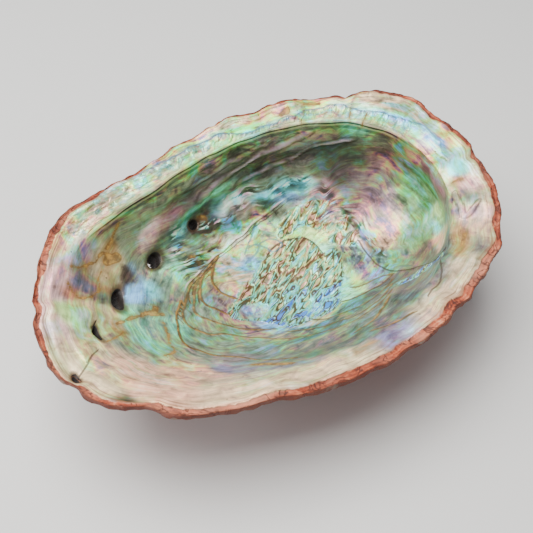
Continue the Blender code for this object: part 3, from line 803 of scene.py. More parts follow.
def on_skin(inner_values, outer_values, lining_values=None):
    """Values for every corner of the mesh, from values on the two faces. The edge, and the hole linings
    unless theirs are given, run evenly from one face to the other."""
    inner_values = np.asarray(inner_values, float)
    outer_values = np.asarray(outer_values, float)
    mix = np.linspace(0, 1, EDGE_RINGS + 2)[1:-1].reshape((-1,) + (1,) * (inner_values.ndim - 1))
    edge_values = (1 - mix) * inner_values[-1] + mix * outer_values[0]
    whole = np.concatenate([inner_values, edge_values, outer_values])
    whole = whole.reshape((-1,) + whole.shape[2:])
    if lining_values is None:
        lining_values = [(1 - far) * whole[mouth_inner] + far * whole[mouth_outer] for far in HOLE_THROUGH]
    return np.concatenate([whole, *lining_values])[used]


def paint_attribute(name, kind, values):
    """Stores values at the mesh's corners for the materials to read."""
    layer = mesh.attributes.new(name, kind, "POINT")
    field = {"FLOAT": "value", "FLOAT_COLOR": "color", "FLOAT_VECTOR": "vector"}[kind]
    layer.data.foreach_set(field, np.ascontiguousarray(values, np.float32).ravel())


# The colours of the nacre and of the crust
#
# Nacre is clear: its colours come from light between its layers, so they drift in soft patches that
# follow the growth. The tones below are laid as overlapping soft patches on the unrolled face.


def tone(red, green, blue):
    """A colour given as 0..255 screen values, made linear."""
    screen = np.array([red, green, blue]) / 255
    return np.where(screen > 0.04045, ((screen + 0.055) / 1.055) ** 2.4, screen / 12.92)


CREAM = tone(212, 190, 144)
IVORY = tone(226, 230, 204)
BONE = tone(220, 188, 146)
PEACH = tone(238, 182, 144)
BLUSH = tone(240, 192, 190)
ROSE = tone(172, 116, 126)
MAUVE = tone(146, 124, 132)
PLUM = tone(94, 76, 76)
SAND = tone(196, 180, 132)
OLIVE = tone(104, 100, 82)
SHADE = tone(92, 88, 80)
MOSS = tone(138, 146, 114)
SAGE = tone(128, 146, 124)
FERN = tone(108, 158, 88)
LIME = tone(178, 222, 110)
MINT = tone(140, 232, 184)
JADE = tone(80, 206, 170)
TEAL = tone(94, 144, 136)
CYAN = tone(62, 226, 244)
SKY = tone(112, 186, 240)
SLATE = tone(90, 108, 116)
LILAC = tone(146, 138, 184)
GOLD = tone(172, 128, 48)
RUST = tone(184, 118, 76)
UMBER = tone(64, 48, 38)
MURK = tone(100, 114, 116)
BARK = tone(104, 84, 68)

# The dark OLIVE, SHADE and PLUM patches high on the wall under the shelf are painted shade, and the BARK
# and UMBER patches beside the holes are brown that is partly painted shade
# Tone, weight, then patches: place on the unrolled face, length along the rim's direction, and breadth
NACRE_PATCHES = (
    (CREAM, 1.0, ((-43, 77, 9, 3), (103, 3, 7, 4), (92, 14, 8, 3), (86, -12, 8, 3), (74, -47, 9, 6),
        (55, -60, 9, 6), (-29, -73, 12, 5), (-112, -6, 8, 6), (-101, 49, 8, 5), (-3, 30, 5, 4),
        (19, -73, 10, 6))),
    (IVORY, 1.2, ((-60, 72, 8, 3), (45, 75, 9, 3), (-16, 32, 5, 4), (67, 70, 6, 2), (-93, 51, 7, 4),
        (-10, 50, 3, 2))),
    (BONE, 1.2, ((102, -15, 9, 4), (91, -33, 9, 4), (-50, -66, 16, 6), (91, 54, 9, 3), (102, 29, 9, 4),
        (39, -67, 10, 6), (-21, 29, 6, 5), (-20, 16, 5, 5))),
    (PEACH, 1.2, ((-90, -25, 9, 5), (49, 6, 6, 5), (-74, -27, 9, 3), (62, -19, 5, 3), (19, 85, 5, 2))),
    (BLUSH, 1.3, ((-54, 69, 6, 2), (-108, 28, 5, 4), (82, -33, 5, 4), (-54, 47, 4, 3), (-84, 54, 8, 4),
        (-104, 35, 6, 5), (96, -18, 5, 5), (-4, 48, 4, 2.5), (43, 12, 4, 3), (39, 34, 6, 3),
        (27, 37, 4, 2), (-114, 5, 6, 4))),
    (ROSE, 1.1, ((-44, 53, 6, 3), (70, 30, 8, 4), (84, 19, 7, 4), (50, 23, 6, 4), (79, -7, 5, 5),
        (40, 39, 6, 3))),
    (MAUVE, 1.0, ((-45, -37, 10, 2), (57, 25, 8, 5), (33, 64, 14, 3), (-18, 65, 12, 3),
        (-32, -2, 9, 2.5))),
    (PLUM, 1.0, ((83, 26, 12, 3), (46, 43, 9, 3))),
    (SAND, 1.0, ((-95, 11, 5, 5), (-12, -10, 8, 3), (-82, 34, 6, 4))),
    (OLIVE, 1.0, ((53, -18, 6, 4), (15, 69, 14, 3), (2, 67, 12, 3), (-31, 63, 10, 3), (72, 37, 12, 3),
        (-50, 44, 5, 4))),
    (SHADE, 1.0, ((35, 56, 16, 3.5), (55, 48, 16, 3.5), (-25, 55, 6, 3), (3, 60, 12, 3))),
    (MOSS, 1.0, ((10, 53, 10, 2.5), (4, 45, 8, 3), (20, 38, 8, 3), (36, 49, 8, 3), (-10, 45, 6, 3),
        (33, 33, 6, 3), (-59, 55, 8, 4), (-75, 53, 8, 4), (41, 68, 14, 2), (-38, 68, 10, 3))),
    (SAGE, 1.2, ((-10, -48, 12, 3), (70, -10, 5, 5), (-37, 33, 7, 6), (-71, -8, 9, 6), (-88, -9, 8, 5),
        (-37, -22, 12, 4), (9, -43, 9, 4), (86, -28, 6, 5), (79, -25, 8, 3), (-57, 20, 8, 6),
        (50, 12, 5, 4))),
    (FERN, 1.3, ((54, -2, 5, 4), (69, 14, 6, 5), (64, 55, 9, 1.5))),
    (LIME, 1.3, ((-108, 11, 4, 3), (-73, 62, 6, 2), (-32, 79, 8, 3), (19, 28, 6, 2.5), (24, -4, 5, 3),
        (68, -7, 4, 4))),
    (MINT, 1.1, ((-54, 75, 8, 2.5), (-19, 81, 9, 3), (4, 35, 5, 3), (-48, 32, 8, 4), (6, 84, 8, 3),
        (15, -1, 7, 4), (4, 14, 9, 5), (30, 80, 8, 2.5))),
    (JADE, 1.4, ((-27, 55, 6, 1.5), (-10, 60, 7, 1.5), (67, 54, 6, 2), (-80, -5, 8, 5), (-67, 0, 5, 4))),
    (TEAL, 1.0, ((-42, 43, 6, 4), (45, -6, 6, 4), (-13, 53, 4, 2))),
    (BARK, 1.5, ((-25, 49, 4, 2.5), (-24, 46, 4, 2), (-32, 45, 3, 2), (-48, 36, 3, 2.5),
        (-69, 28, 2, 3))),
    (CYAN, 1.6, ((80, 54, 8, 2), (93, 18, 7, 2), (61, 66, 7, 2), (21, -6, 3, 2), (25, 48, 5, 1.8),
        (33, 46, 4, 1.8), (15, 48, 4, 1.5), (-3, 52, 3, 2), (-16, 5, 5, 3), (-62, 21, 3.5, 3),
        (5, -8, 5, 4), (16, 81, 6, 2), (97, 14, 7, 2), (96, -6, 4, 3), (-79, 63, 5, 2),
        (-39, 43, 5, 2), (64, -10, 4, 1.5), (8, 48, 4, 1.5))),
    (SKY, 1.2, ((87, 43, 8, 2), (94, 31, 9, 2), (-68, 23, 4, 3), (19, 43, 6, 2), (-68, 68, 7, 2.5),
        (-24, -1, 6, 3), (-9, 1, 7, 4), (-12, 22, 3, 3), (3, 4, 7, 5))),
    (SLATE, 1.2, ((8, -34, 12, 3), (-20, -36, 12, 3), (36, -46, 8, 5), (55, -44, 8, 4),
        (66, -54, 7, 3), (-20, -56, 16, 4), (-3, -65, 12, 5), (40, -56, 6, 5), (30, 1, 5, 4),
        (27, -58, 8, 5))),
    (LILAC, 1.1, ((31, -8, 5, 3), (-1, -75, 10, 4), (-89, 40, 5, 3), (-50, -46, 12, 3))),
    (GOLD, 1.5, ((-48, -46, 7, 1.2), (62, -48, 6, 2), (58, -50, 3, 2), (102, 15, 5, 2.5),
        (-79, 36, 6, 2), (-48, -45, 8, 1.2), (-19, -73, 6, 1.2), (62, -49, 4, 3), (87, -13, 2, 2),
        (91, -13, 2, 2), (-90, 33, 6, 1.5), (50, 83, 5, 1.5), (69, -43, 4, 2), (-89, 3, 5, 2))),
    (RUST, 0.7, ((-102, 24, 2, 5), (-86, 26, 1.5, 4))),
    (UMBER, 1.0, ((32, 4, 1.5, 1.5), (-49, 35, 2, 2))),
    (MURK, 1.3, ((-93, 27, 4.5, 5),)),
)


def bell(places, spot):
    """A bell curve round a spot, its long axis along the rim's direction there."""
    middle_u, middle_v, long_reach, cross_reach = spot
    out = np.array([middle_u, middle_v]) / max(np.hypot(middle_u, middle_v), 1.0)
    gap = places - (middle_u, middle_v)
    cross = gap @ out
    along = gap @ np.array([-out[1], out[0]])
    return np.exp(-(along / long_reach) ** 2 - (cross / cross_reach) ** 2)


def blend_patches(places, patches):
    """The average of all tones at each place, weighed by how near each patch is."""
    total = np.full(places.shape[:-1], 1e-6)
    colour = np.zeros(places.shape[:-1] + (3,))
    for shade, weight, spots in patches:
        for spot in spots:
            amount = weight * bell(places, spot)
            total += amount
            colour += amount[..., None] * shade
    return colour / total[..., None]


PATCH_WANDER = 2.0             # how far the patches' edges stray, in millimetres
patch_places = unrolled + PATCH_WANDER * wander
nacre_tone = blend_patches(patch_places, NACRE_PATCHES)

# Along the shelf the colours also lie in bands beside the jagged line: millimetres from it, then the tone
SHELF_BANDS = ((-9.0, CREAM), (-6.0, BONE), (-4.2, PEACH), (-2.6, LIME), (-1.2, MINT), (-0.3, LILAC),
               (0.3, SKY), (1.4, CYAN), (3.2, MINT), (5.0, IVORY), (7.0, CREAM))
BAND_SHARE = 0.7
turn_degrees = np.degrees(direction)
band_gaps = np.array([gap for gap, shade in SHELF_BANDS])
band_tones = np.array([shade for gap, shade in SHELF_BANDS])
band_tone = np.stack([np.interp(by_shelf, band_gaps, channel) for channel in band_tones.T], axis=-1)
shelf_bands = (
    BAND_SHARE * step(1.0, 1.03, station) * step(14, 30, turn_degrees) * step(160, 148, turn_degrees))
nacre_tone = nacre_tone + shelf_bands[..., None] * (band_tone - nacre_tone)

# Where the nacre flashes: painted highlights in short bright strokes, on a ground painted darker: place,
# length along the rim's direction, and breadth
FLASHES = ((-3, 53, 7, 3), (5, 53, 5, 2.5), (17, 49, 6, 2.5), (26, 48, 7, 3), (32, 47, 4, 2),
           (10, 45, 5, 2), (-4, 48, 4, 2.5), (-12, 46, 6, 2), (39, 37, 6, 3), (40, 31, 4, 3),
           (-41, 39, 5, 4), (-39, 31, 6, 4), (-41, 44, 4, 3), (-32, 32, 4, 3), (43, 16, 4, 3),
           (42, 7, 4, 3), (42, 0, 3, 2), (29, 36, 5, 3), (41, 24, 4, 3), (-23, 36, 4, 2),
           (-24, 45, 5, 2), (20, 33, 6, 3), (30, 30, 6, 4), (36, 20, 3, 6), (-17, 46, 3, 2),
           (41, 34, 3, 3), (1, 37, 3, 2))
FLASH_GROUND = 0.35            # how much darker the ground of the strokes is
SHELF_FLASH = 0.25             # how strongly the strip between crest and jagged line flashes
flash = np.max([bell(patch_places, spot) for spot in FLASHES], axis=0)
nacre_tone = nacre_tone * (1 - FLASH_GROUND * flash)[..., None]

# All tones are drawn towards grey, most on the wall under the outer lip
NACRE_GREY = 0.30              # how far all tones are drawn to grey
LIP_WALL_GREY = 0.35           # how much further on that wall, and how much darker it is
LIP_WALL_SHADE = 0.22
LIGHTNESS = (0.21, 0.72, 0.07)  # what red, green and blue add to how light a tone is
near_side = step(200, 225, turn_degrees) * step(345, 320, turn_degrees) * step(0.45, 0.6, station)
lip_wall = near_side * step(1.0, 0.88, station)
grey_share = (NACRE_GREY + LIP_WALL_GREY * lip_wall)[..., None]
nacre_tone = nacre_tone + grey_share * ((nacre_tone @ np.array(LIGHTNESS))[..., None] - nacre_tone)
nacre_tone = nacre_tone * (1 - LIP_WALL_SHADE * lip_wall)[..., None]

# The crust runs from brick red by the rim to a paler worn brown over the spire, with pale old sea life
BRICK = tone(152, 70, 50)
CLAY = tone(178, 100, 74)
DUST = tone(186, 170, 150)
SEA_MOSS = tone(112, 112, 82)
from_spire = np.hypot(outside[..., 0] - SPIRE[0], outside[..., 1] - SPIRE[1])
pale = step(0.062, 0.012, from_spire) * 0.75
mossy = step(0.1, 0.6, fractal(outside, 0.030, 3, 101)) * step(1.3, 0.9, outside_s)
clay = step(-0.2, 0.5, fractal(outside, 0.020, 3, 103))
crust_tone = BRICK + clay[..., None] * (CLAY - BRICK)
crust_tone = crust_tone + pale[..., None] * (DUST - crust_tone)
crust_tone = crust_tone + (0.6 * mossy)[..., None] * (SEA_MOSS - crust_tone)
nacre_tone[-1] = crust_tone[0]  # the broken edge is red layer throughout

paint_attribute("tone", "FLOAT_COLOR", on_skin(
    np.concatenate([nacre_tone, np.ones(station.shape + (1,))], axis=-1),
    np.concatenate([crust_tone, np.ones(station.shape + (1,))], axis=-1)))


FAR = 99.0                     # a distance at which no line and no field shows


def paint_line(name, signed, strength=1.0):
    """Stores a line's signed distance, its plain distance and its strength in one attribute."""
    values = np.stack([signed, np.abs(signed), strength + 0 * signed], axis=-1)
    paint_attribute(name, "FLOAT_VECTOR", on_skin(values, np.full(values.shape, FAR) * (1, 1, 0)))


by_crest = walk - walk[WALL_RINGS]
shelf_side = step(12, 30, turn_degrees) * step(158, 146, turn_degrees)
strong_share = np.where(np.abs(by_strong) < np.abs(by_faint), 1.0, 0.85)
paint_line("gold_line", by_gold, strong_share)
paint_line("dark_line", by_dark)
scar_ends = distance_to(unrolled, (SCAR_EDGE[0], SCAR_EDGE[-1]))
paint_line("scar_line", by_scar, step(1.0, 16.0, scar_ends))
paint_line("loop_line", nearer(by_loop, by_shelf))
paint_line("crest_line", by_crest, shelf_side)

# The strip of the shelf that has faint lumps: between its crest and its jagged line
STRIP_WIDTH = 13.0
from_rim = (walk[-1] - walk) / 1000
strip = step(0.5, 1.5, by_crest) * step(0.5, -1.0, by_crest - STRIP_WIDTH) * shelf_side
strip = strip * np.where(by_shelf > 0, 1.0, 0.0)

# How vivid the play of colour, its painted sheen and its painted glints are: most on the shelf and high
# up the wall, less under the shelf, at the left end, on the outer lip's side and in the pocket
vivid = 0.55 + 0.45 * step(1.45, 0.9, station) * step(0.3, 0.75, station)
far_side = step(20, 40, turn_degrees) * step(175, 150, turn_degrees)
vivid = vivid + far_side * (1.0 - vivid) * step(0.99, 1.05, station)
vivid = vivid * (1 - 0.75 * far_side * step(0.72, 0.80, station) * step(1.0, 0.97, station))
left_end = step(148, 162, turn_degrees) * step(225, 208, turn_degrees) * step(0.35, 0.6, station)
vivid = vivid * (1 - 0.6 * left_end)
vivid = vivid * (1 - 0.35 * near_side)
in_pocket = step(42, 54, unrolled[..., 0]) * step(1.04, 0.98, station)
vivid = vivid * (1 - 0.4 * in_pocket)
vivid = vivid * (1 - 0.5 * step(195, 215, turn_degrees) * step(0.55, 0.8, station))

# Outside, the same attribute says where the crust is worn through to the nacre
worn = 0.9 * step(0.007, 0.002, from_rest(outside))
none_outside = np.zeros(outside.shape[:2])
for name, inner_values, outer_values in (
        ("fold", fold, none_outside), ("stain", in_stain, none_outside - FAR),
        ("worms", in_worms, none_outside - FAR), ("chunks", in_chunks, none_outside - FAR),
        ("strip", 5 * strip - 2, none_outside - FAR), ("margin", margin, none_outside - 9),
        ("strata", from_rim, growth_outward(outside)),
        ("flash", np.maximum(flash, SHELF_FLASH * strip), none_outside), ("vivid", vivid, worn)):
    paint_attribute(name, "FLOAT", on_skin(inner_values, outer_values))

# 1 at a hole's mouth, fading out over this many times the mouth's size, and more than 1 within the hole;
# it places the painted shade round and in the holes
HOLE_SHADE_REACH = 2.1
WITHIN_HOLE = 1.6
at_hole = step(HOLE_SHADE_REACH, 1.0, reach.min(axis=-1))
hole_lining = np.full((len(HOLE_THROUGH), len(mouth_inner)), WITHIN_HOLE)
paint_attribute("hole", "FLOAT", on_skin(at_hole, at_hole[::-1], lining_values=hole_lining))

# Places for the patterns. Outside they are moved, so that its patterns differ from those inside
flat = np.concatenate([unrolled / 1000, station[..., None] * 0.01], axis=-1)
paint_attribute("unrolled", "FLOAT_VECTOR", on_skin(flat, flat[::-1] + np.array([0.5, 0.5, 0.0])))
ROUND = 0.060                  # radius on which directions are laid out, for patterns along the rim
ringed = np.stack([ROUND * np.cos(direction), ROUND * np.sin(direction), from_rim], axis=-1)
paint_attribute("ringed", "FLOAT_VECTOR", on_skin(ringed, ringed[::-1] + np.array([0.0, 0.0, 0.5])))


# The materials
#
# Inside, glossy nacre that shades into the bare red layer at the rim. Outside, the same red layer, rough
# and banded, worn through to nacre where the shell stands. The two share the effects that follow.


def rgba(colour):
    """A colour with full cover."""
    return tuple(colour)[:3] + (1.0,)


class Nodes:
    """Adds nodes to one tree and joins them, from left to right."""

    def __init__(self, tree):
        self.tree = tree
        self.column = 0

    def add(self, kind, inputs=(), **settings):
        """A node whose inputs are other nodes' outputs, plain values, or colours."""
        node = self.tree.nodes.new(kind)
        self.column += 1
        node.location = (self.column * 180, -(self.column % 5) * 160)
        for name, value in settings.items():
            setattr(node, name, value)
        for key, value in dict(inputs).items():
            socket = node.inputs[key]
            if isinstance(value, bpy.types.NodeSocket):
                self.tree.links.new(value, socket)
            else:
                socket.default_value = rgba(value) if socket.type == "RGBA" else value
        return node

    def attribute(self, name):
        return self.add("ShaderNodeAttribute", attribute_name=name).outputs

    def math(self, operation, first, second=0.0, third=0.0):
        return self.add("ShaderNodeMath", {0: first, 1: second, 2: third}, operation=operation).outputs[0]

    def times(self, first, second):
        return self.math("MULTIPLY", first, second)

    def times_plus(self, first, second, third):
        return self.math("MULTIPLY_ADD", first, second, third)

    def less(self, first, second):
        return self.math("SUBTRACT", first, second)

    def larger(self, first, second):
        return self.math("MAXIMUM", first, second)

    def between(self, value, low, high):
        """Smooth rise from 0 at low to 1 at high; low may be the larger."""
        node = self.add("ShaderNodeMapRange", {"Value": value, "From Min": low, "From Max": high})
        node.interpolation_type = "SMOOTHSTEP"
        return node.outputs["Result"]

    def mix(self, amount, first, second, blend="MIX"):
        node = self.add(
            "ShaderNodeMix", {"Factor": amount, 6: first, 7: second}, data_type="RGBA", blend_type=blend)
        return node.outputs[2]

    def mix_values(self, amount, first, second):
        node = self.add("ShaderNodeMix", {"Factor": amount, 2: first, 3: second}, data_type="FLOAT")
        return node.outputs[0]

    def paint(self, colour, mask, amount, shade):
        """Lays a shade over a colour, as strongly as the mask times the amount."""
        return self.mix(self.times(mask, amount), colour, shade)

    def grey(self, value):
        return self.add("ShaderNodeCombineColor", {0: value, 1: value, 2: value}).outputs[0]

    def noise(self, vector, scale, detail=3.0, roughness=0.5, distortion=0.0):
        return self.add("ShaderNodeTexNoise", {
            "Vector": vector, "Scale": scale, "Detail": detail, "Roughness": roughness,
            "Distortion": distortion}).outputs["Fac"]

    def dots(self, vector, scale):
        """Distance to the nearest of many scattered points."""
        node = self.add("ShaderNodeTexVoronoi", {"Vector": vector, "Scale": scale, "Randomness": 1.0})
        return node.outputs["Distance"]

    def mapped(self, vector, scale, turn=0.0):
        """The vector turned about z, then divided by the scale: one unit is one length of the pattern."""
        turned = {"Vector": vector, "Rotation": (0.0, 0.0, turn), "Scale": scale}
        return self.add("ShaderNodeMapping", turned, vector_type="TEXTURE").outputs[0]

    def streaks(self, vector, along, across, detail, roughness, distortion):
        """Noise drawn out along the growth, by its lengths along the rim and across it."""
        return self.noise(self.mapped(vector, (along, along, across)), 1.0, detail, roughness, distortion)

    def line(self, name, half_width, waver, offset=0.0):
        """A mask along a stored line. Its signed distance gives the line its sharpness; where that jumps
        between two lines, the plain distance keeps the mask off."""
        parts = self.add("ShaderNodeSeparateXYZ", {0: self.attribute(name)["Vector"]}).outputs
        beside = self.times_plus(waver, 0.7, self.less(parts[0], offset + 0.35))
        thin = self.between(self.math("ABSOLUTE", beside), 1.3 * half_width, 0.5 * half_width)
        near = self.between(parts[1], abs(offset) + half_width + 0.9, abs(offset) + half_width + 0.5)
        return self.times(self.times(thin, near), parts[2])

    def ramp(self, value, stops):
        """Colours by value: each stop is a value and its colour."""
        node = self.add("ShaderNodeValToRGB", {"Fac": value})
        elements = node.color_ramp.elements
        while len(elements) < len(stops):
            elements.new(0.5)
        for element, (place, colour) in zip(elements, stops):
            element.position = place
            element.color = rgba(colour)
        return node.outputs["Color"]


def new_group(name, inputs, outputs):
    """An empty shader group with its sockets; returns its nodes and its inputs."""
    tree = bpy.data.node_groups.new(name, "ShaderNodeTree")
    for label, kind, value in inputs:
        socket = tree.interface.new_socket(name=label, in_out="INPUT", socket_type="NodeSocket" + kind)
        if value is not None:
            socket.default_value = value
    for label, kind in outputs:
        tree.interface.new_socket(name=label, in_out="OUTPUT", socket_type="NodeSocket" + kind)
    nodes = Nodes(tree)
    return nodes, nodes.add("NodeGroupInput").outputs


# Light between the layers: the nacre shows its quiet tone, and in patches drawn out along the growth it
# lights up in hues that drift. The hues are its own; their brightening and the lighter and darker streaks
# from the sheen are painted sheen
nodes, given = new_group(
    "play_of_colour",
    (("Tone", "Color", (0.5, 0.5, 0.5, 1.0)), ("Place", "Vector", None), ("Ringed", "Vector", None),
     ("Vivid", "Float", 0.5), ("Flash", "Float", 0.0)),
    (("Color", "Color"), ("Sheen", "Float")))
streak = nodes.streaks(given["Ringed"], 0.012, 0.0030, 5.0, 0.62, 0.5)
patchy = nodes.streaks(given["Ringed"], 0.017, 0.0058, 4.0, 0.60, 0.9)
mottle = nodes.noise(given["Place"], 210.0, 3.0, 0.55, 0.8)
flow = nodes.noise(given["Place"], 62.0, 2.0, 0.5, 1.0)
phase = nodes.times_plus(flow, 1.9, nodes.times(streak, 1.3))
phase = nodes.less(nodes.times_plus(mottle, 0.7, phase), 1.45)
film = nodes.ramp(phase, (
    (0.00, tone(168, 156, 236)), (0.17, tone(252, 160, 190)), (0.33, tone(252, 214, 156)),
    (0.47, tone(200, 240, 124)), (0.62, tone(112, 240, 164)), (0.79, tone(84, 218, 240)),
    (1.00, tone(136, 168, 246))))
sheen = nodes.times_plus(mottle, 0.45, nodes.times(streak, 0.55))
lit = nodes.mix(0.30, nodes.mix(1.0, given["Tone"], film, "MULTIPLY"), film)
lit = nodes.mix(1.0, lit, (1.55, 1.55, 1.55), "MULTIPLY")
glint = nodes.times(nodes.between(patchy, 0.43, 0.58), given["Vivid"])
colour = nodes.paint(given["Tone"], glint, 0.85, lit)
painted_sheen = nodes.times(nodes.less(sheen, 0.5), 5.6)
painted_sheen = nodes.times_plus(painted_sheen, nodes.times_plus(given["Vivid"], 0.6, 0.40), 1.04)
colour = nodes.mix(1.0, colour, nodes.grey(painted_sheen), "MULTIPLY")
# Painted glints all over, along the growth, with fine darker streaks of painted shade between them
fine = nodes.streaks(given["Ringed"], 0.0052, 0.0014, 3.0, 0.55, 0.4)
fine_bright = nodes.times(nodes.between(fine, 0.54, 0.68), given["Vivid"])
colour = nodes.paint(colour, fine_bright, 0.50, nodes.mix(0.18, lit, (1.0, 1.0, 1.0)))
fine_dark = nodes.times(nodes.between(fine, 0.46, 0.34), given["Vivid"])
colour = nodes.paint(colour, fine_dark, 0.35, tone(70, 72, 58))
# Painted highlights: short bright strokes, with painted shade between them
strokes = nodes.streaks(given["Ringed"], 0.0092, 0.0019, 4.0, 0.5, 0.6)
stroke_colour = nodes.ramp(nodes.noise(given["Place"], 170.0, 2.0, 0.5, 0.6), (
    (0.34, tone(112, 178, 236)), (0.42, tone(112, 226, 230)), (0.50, tone(190, 244, 222)),
    (0.57, tone(246, 248, 240)), (0.66, tone(244, 190, 216))))
between_strokes = nodes.times(nodes.between(strokes, 0.51, 0.46), given["Flash"])
colour = nodes.paint(colour, between_strokes, 0.85, tone(58, 68, 56))
bright_stroke = nodes.times(nodes.between(strokes, 0.52, 0.56), given["Flash"])
colour = nodes.paint(colour, bright_stroke, 0.95, stroke_colour)
nodes.add("NodeGroupOutput", {"Color": colour, "Sheen": sheen})
play_of_colour = nodes.tree

# Worm-like lumps: blobs of a stretched noise, each with a broken outline along one height of the noise
nodes, given = new_group(
    "lumps", (("Place", "Vector", None),), (("Outline", "Float"), ("Number", "Float"), ("Height", "Float")))
blob = nodes.noise(given["Place"], 1.0, 1.6, 0.5, 0.45)
outline = 0.0
for level in (0.42, 0.57):
    gap = nodes.math("ABSOLUTE", nodes.less(blob, level))
    outline = nodes.larger(nodes.between(gap, 0.050, 0.020), outline)
broken = nodes.between(nodes.noise(given["Place"], 0.55, 1.0), 0.34, 0.46)
nodes.add("NodeGroupOutput", {
    "Outline": nodes.times(outline, broken), "Number": nodes.noise(given["Place"], 0.95, 2.5, 0.6, 0.4),
    "Height": nodes.between(blob, 0.36, 0.60)})
lump_pattern = nodes.tree

# The red outer layer: blotched, grained and cracked, with bands laid down at the rim
RED_BAND = 0.0016
nodes, given = new_group(
    "red_layer", (("Place", "Vector", None), ("Strata", "Float", 0.0)),
    (("Color", "Color"), ("Roughness", "Float"), ("Height", "Float")))
blotch = nodes.noise(given["Place"], 150.0, 5.0, 0.62, 0.6)
grain = nodes.noise(given["Place"], 700.0, 3.0, 0.6)
bands = nodes.times(given["Strata"], 2 * np.pi / RED_BAND)
bands = nodes.math("SINE", nodes.times_plus(blotch, 11.0, bands))
crack = nodes.math("ABSOLUTE", nodes.less(nodes.noise(given["Place"], 95.0, 3.0, 0.6, 1.2), 0.5))
crack = nodes.between(crack, 0.030, 0.004)
colour = nodes.ramp(nodes.times_plus(bands, 0.05, blotch), (
    (0.30, tone(92, 40, 28)), (0.42, tone(138, 62, 40)), (0.52, tone(170, 82, 52)),
    (0.62, tone(194, 110, 76)), (0.76, tone(216, 156, 122))))
colour = nodes.mix(nodes.between(grain, 0.50, 0.30), colour, tone(196, 160, 150), "MULTIPLY")
broad = nodes.noise(given["Place"], 26.0, 3.0, 0.55, 0.5)
colour = nodes.paint(colour, nodes.between(broad, 0.50, 0.66), 0.45, tone(214, 152, 122))
colour = nodes.paint(colour, nodes.between(broad, 0.48, 0.34), 0.6, tone(120, 66, 52))
colour = nodes.paint(colour, crack, 0.75, tone(66, 36, 32))
height = nodes.times_plus(grain, 0.35, nodes.times(blotch, 1.6))
height = nodes.times_plus(crack, -0.5, nodes.times_plus(bands, 0.16, height))
rough = nodes.add("ShaderNodeMapRange", {"Value": grain, "To Min": 0.5, "To Max": 0.85}).outputs["Result"]
nodes.add("NodeGroupOutput", {"Color": colour, "Roughness": rough, "Height": height})
red_layer = nodes.tree


def shell_material(name):
    """A material: its nodes, its shader, the place that its patterns read, and its two effects' outputs."""
    material = bpy.data.materials.new(name)
    material.use_nodes = True
    nodes = Nodes(material.node_tree)
    place = nodes.add("ShaderNodeTexCoord").outputs["Object"]
    play = nodes.add("ShaderNodeGroup", {
        "Place": place, "Tone": nodes.attribute("tone")["Color"],
        "Ringed": nodes.attribute("ringed")["Vector"], "Vivid": nodes.attribute("vivid")["Fac"],
        "Flash": nodes.attribute("flash")["Fac"]}, node_tree=play_of_colour)
    red = nodes.add("ShaderNodeGroup", {
        "Place": place, "Strata": nodes.attribute("strata")["Fac"]}, node_tree=red_layer)
    return material, nodes, material.node_tree.nodes["Principled BSDF"], place, play.outputs, red.outputs


nacre, nodes, shader, place, play, red = shell_material("nacre")
waver = nodes.noise(place, 420.0, 3.0)
broad_waver = nodes.noise(place, 110.0, 2.0)

# Fine growth lines: a little lighter and darker, of uneven breadth
growth_lines = nodes.streaks(nodes.attribute("ringed")["Vector"], 0.016, 0.0008, 3.0, 0.6, 0.3)
shade = nodes.grey(nodes.times_plus(growth_lines, 0.9, 0.55))
colour = nodes.mix(1.0, play["Color"], shade, "MULTIPLY")

# The scar's lumps: worm-like in its middle, broken and coarser above, faint on the shelf; cream and pink
# towards the shelf, cyan and blue towards the outer lip, with brown outlines. For each field of them:
# their length and breadth, how much they cover, and how strong their outlines are
LUMP_FIELDS = (("worms", 0.0096, 0.0027, 0.85, 0.90), ("chunks", 0.0090, 0.0034, 0.85, 0.85),
               ("strip", 0.0060, 0.0034, 0.35, 0.22))
unrolled_place = nodes.attribute("unrolled")["Vector"]
toward_shelf = nodes.add("ShaderNodeSeparateXYZ", {0: unrolled_place}).outputs[1]
cool = nodes.between(nodes.times_plus(broad_waver, 0.030, toward_shelf), 0.026, 0.004)
lump_height = 0.0
for name, length, breadth, cover, outlined in LUMP_FIELDS:
    lump_place = nodes.mapped(unrolled_place, (length, breadth, 1.0), LUMP_TURN)
    lumps = nodes.add("ShaderNodeGroup", {"Place": lump_place}, node_tree=lump_pattern)
    mask = nodes.between(nodes.times_plus(waver, 2.4, nodes.attribute(name)["Fac"]), 0.2, 1.6)
    if name == "chunks":
        mask = nodes.times(mask, nodes.between(broad_waver, 0.36, 0.50))
    number = nodes.times_plus(cool, 0.16, nodes.less(lumps.outputs["Number"], 0.05))
    lump_tone = nodes.ramp(number, (
        (0.30, tone(150, 120, 80)), (0.36, tone(240, 176, 168)), (0.41, tone(196, 190, 110)),
        (0.45, tone(214, 232, 186)), (0.50, tone(112, 190, 150)), (0.54, tone(150, 232, 206)),
        (0.58, tone(54, 200, 224)), (0.62, tone(196, 242, 240)), (0.67, tone(66, 134, 218))))
    colour = nodes.paint(colour, mask, cover, lump_tone)
    outline = nodes.times(lumps.outputs["Outline"], mask)
    colour = nodes.paint(colour, outline, outlined, tone(96, 72, 46))
    lump_height = nodes.larger(nodes.times(lumps.outputs["Height"], mask), lump_height)

# Folds under the shelf: a pale painted highlight on their backs, and painted shade in the hollows beside
# them
fold = nodes.attribute("fold")["Fac"]
fold_tint = nodes.between(nodes.noise(place, 70.0, 2.0), 0.42, 0.58)
fold_highlight = nodes.times(nodes.between(fold, 0.35, 0.95), nodes.between(broad_waver, 0.30, 0.62))
fold_shade = nodes.times(nodes.between(fold, 0.02, 0.12), nodes.between(fold, 0.45, 0.20))
colour = nodes.paint(colour, fold_shade, 0.45, tone(66, 60, 46))
fold_tone = nodes.mix(fold_tint, tone(206, 182, 196), tone(168, 160, 140))
colour = nodes.paint(colour, fold_highlight, 0.8, fold_tone)
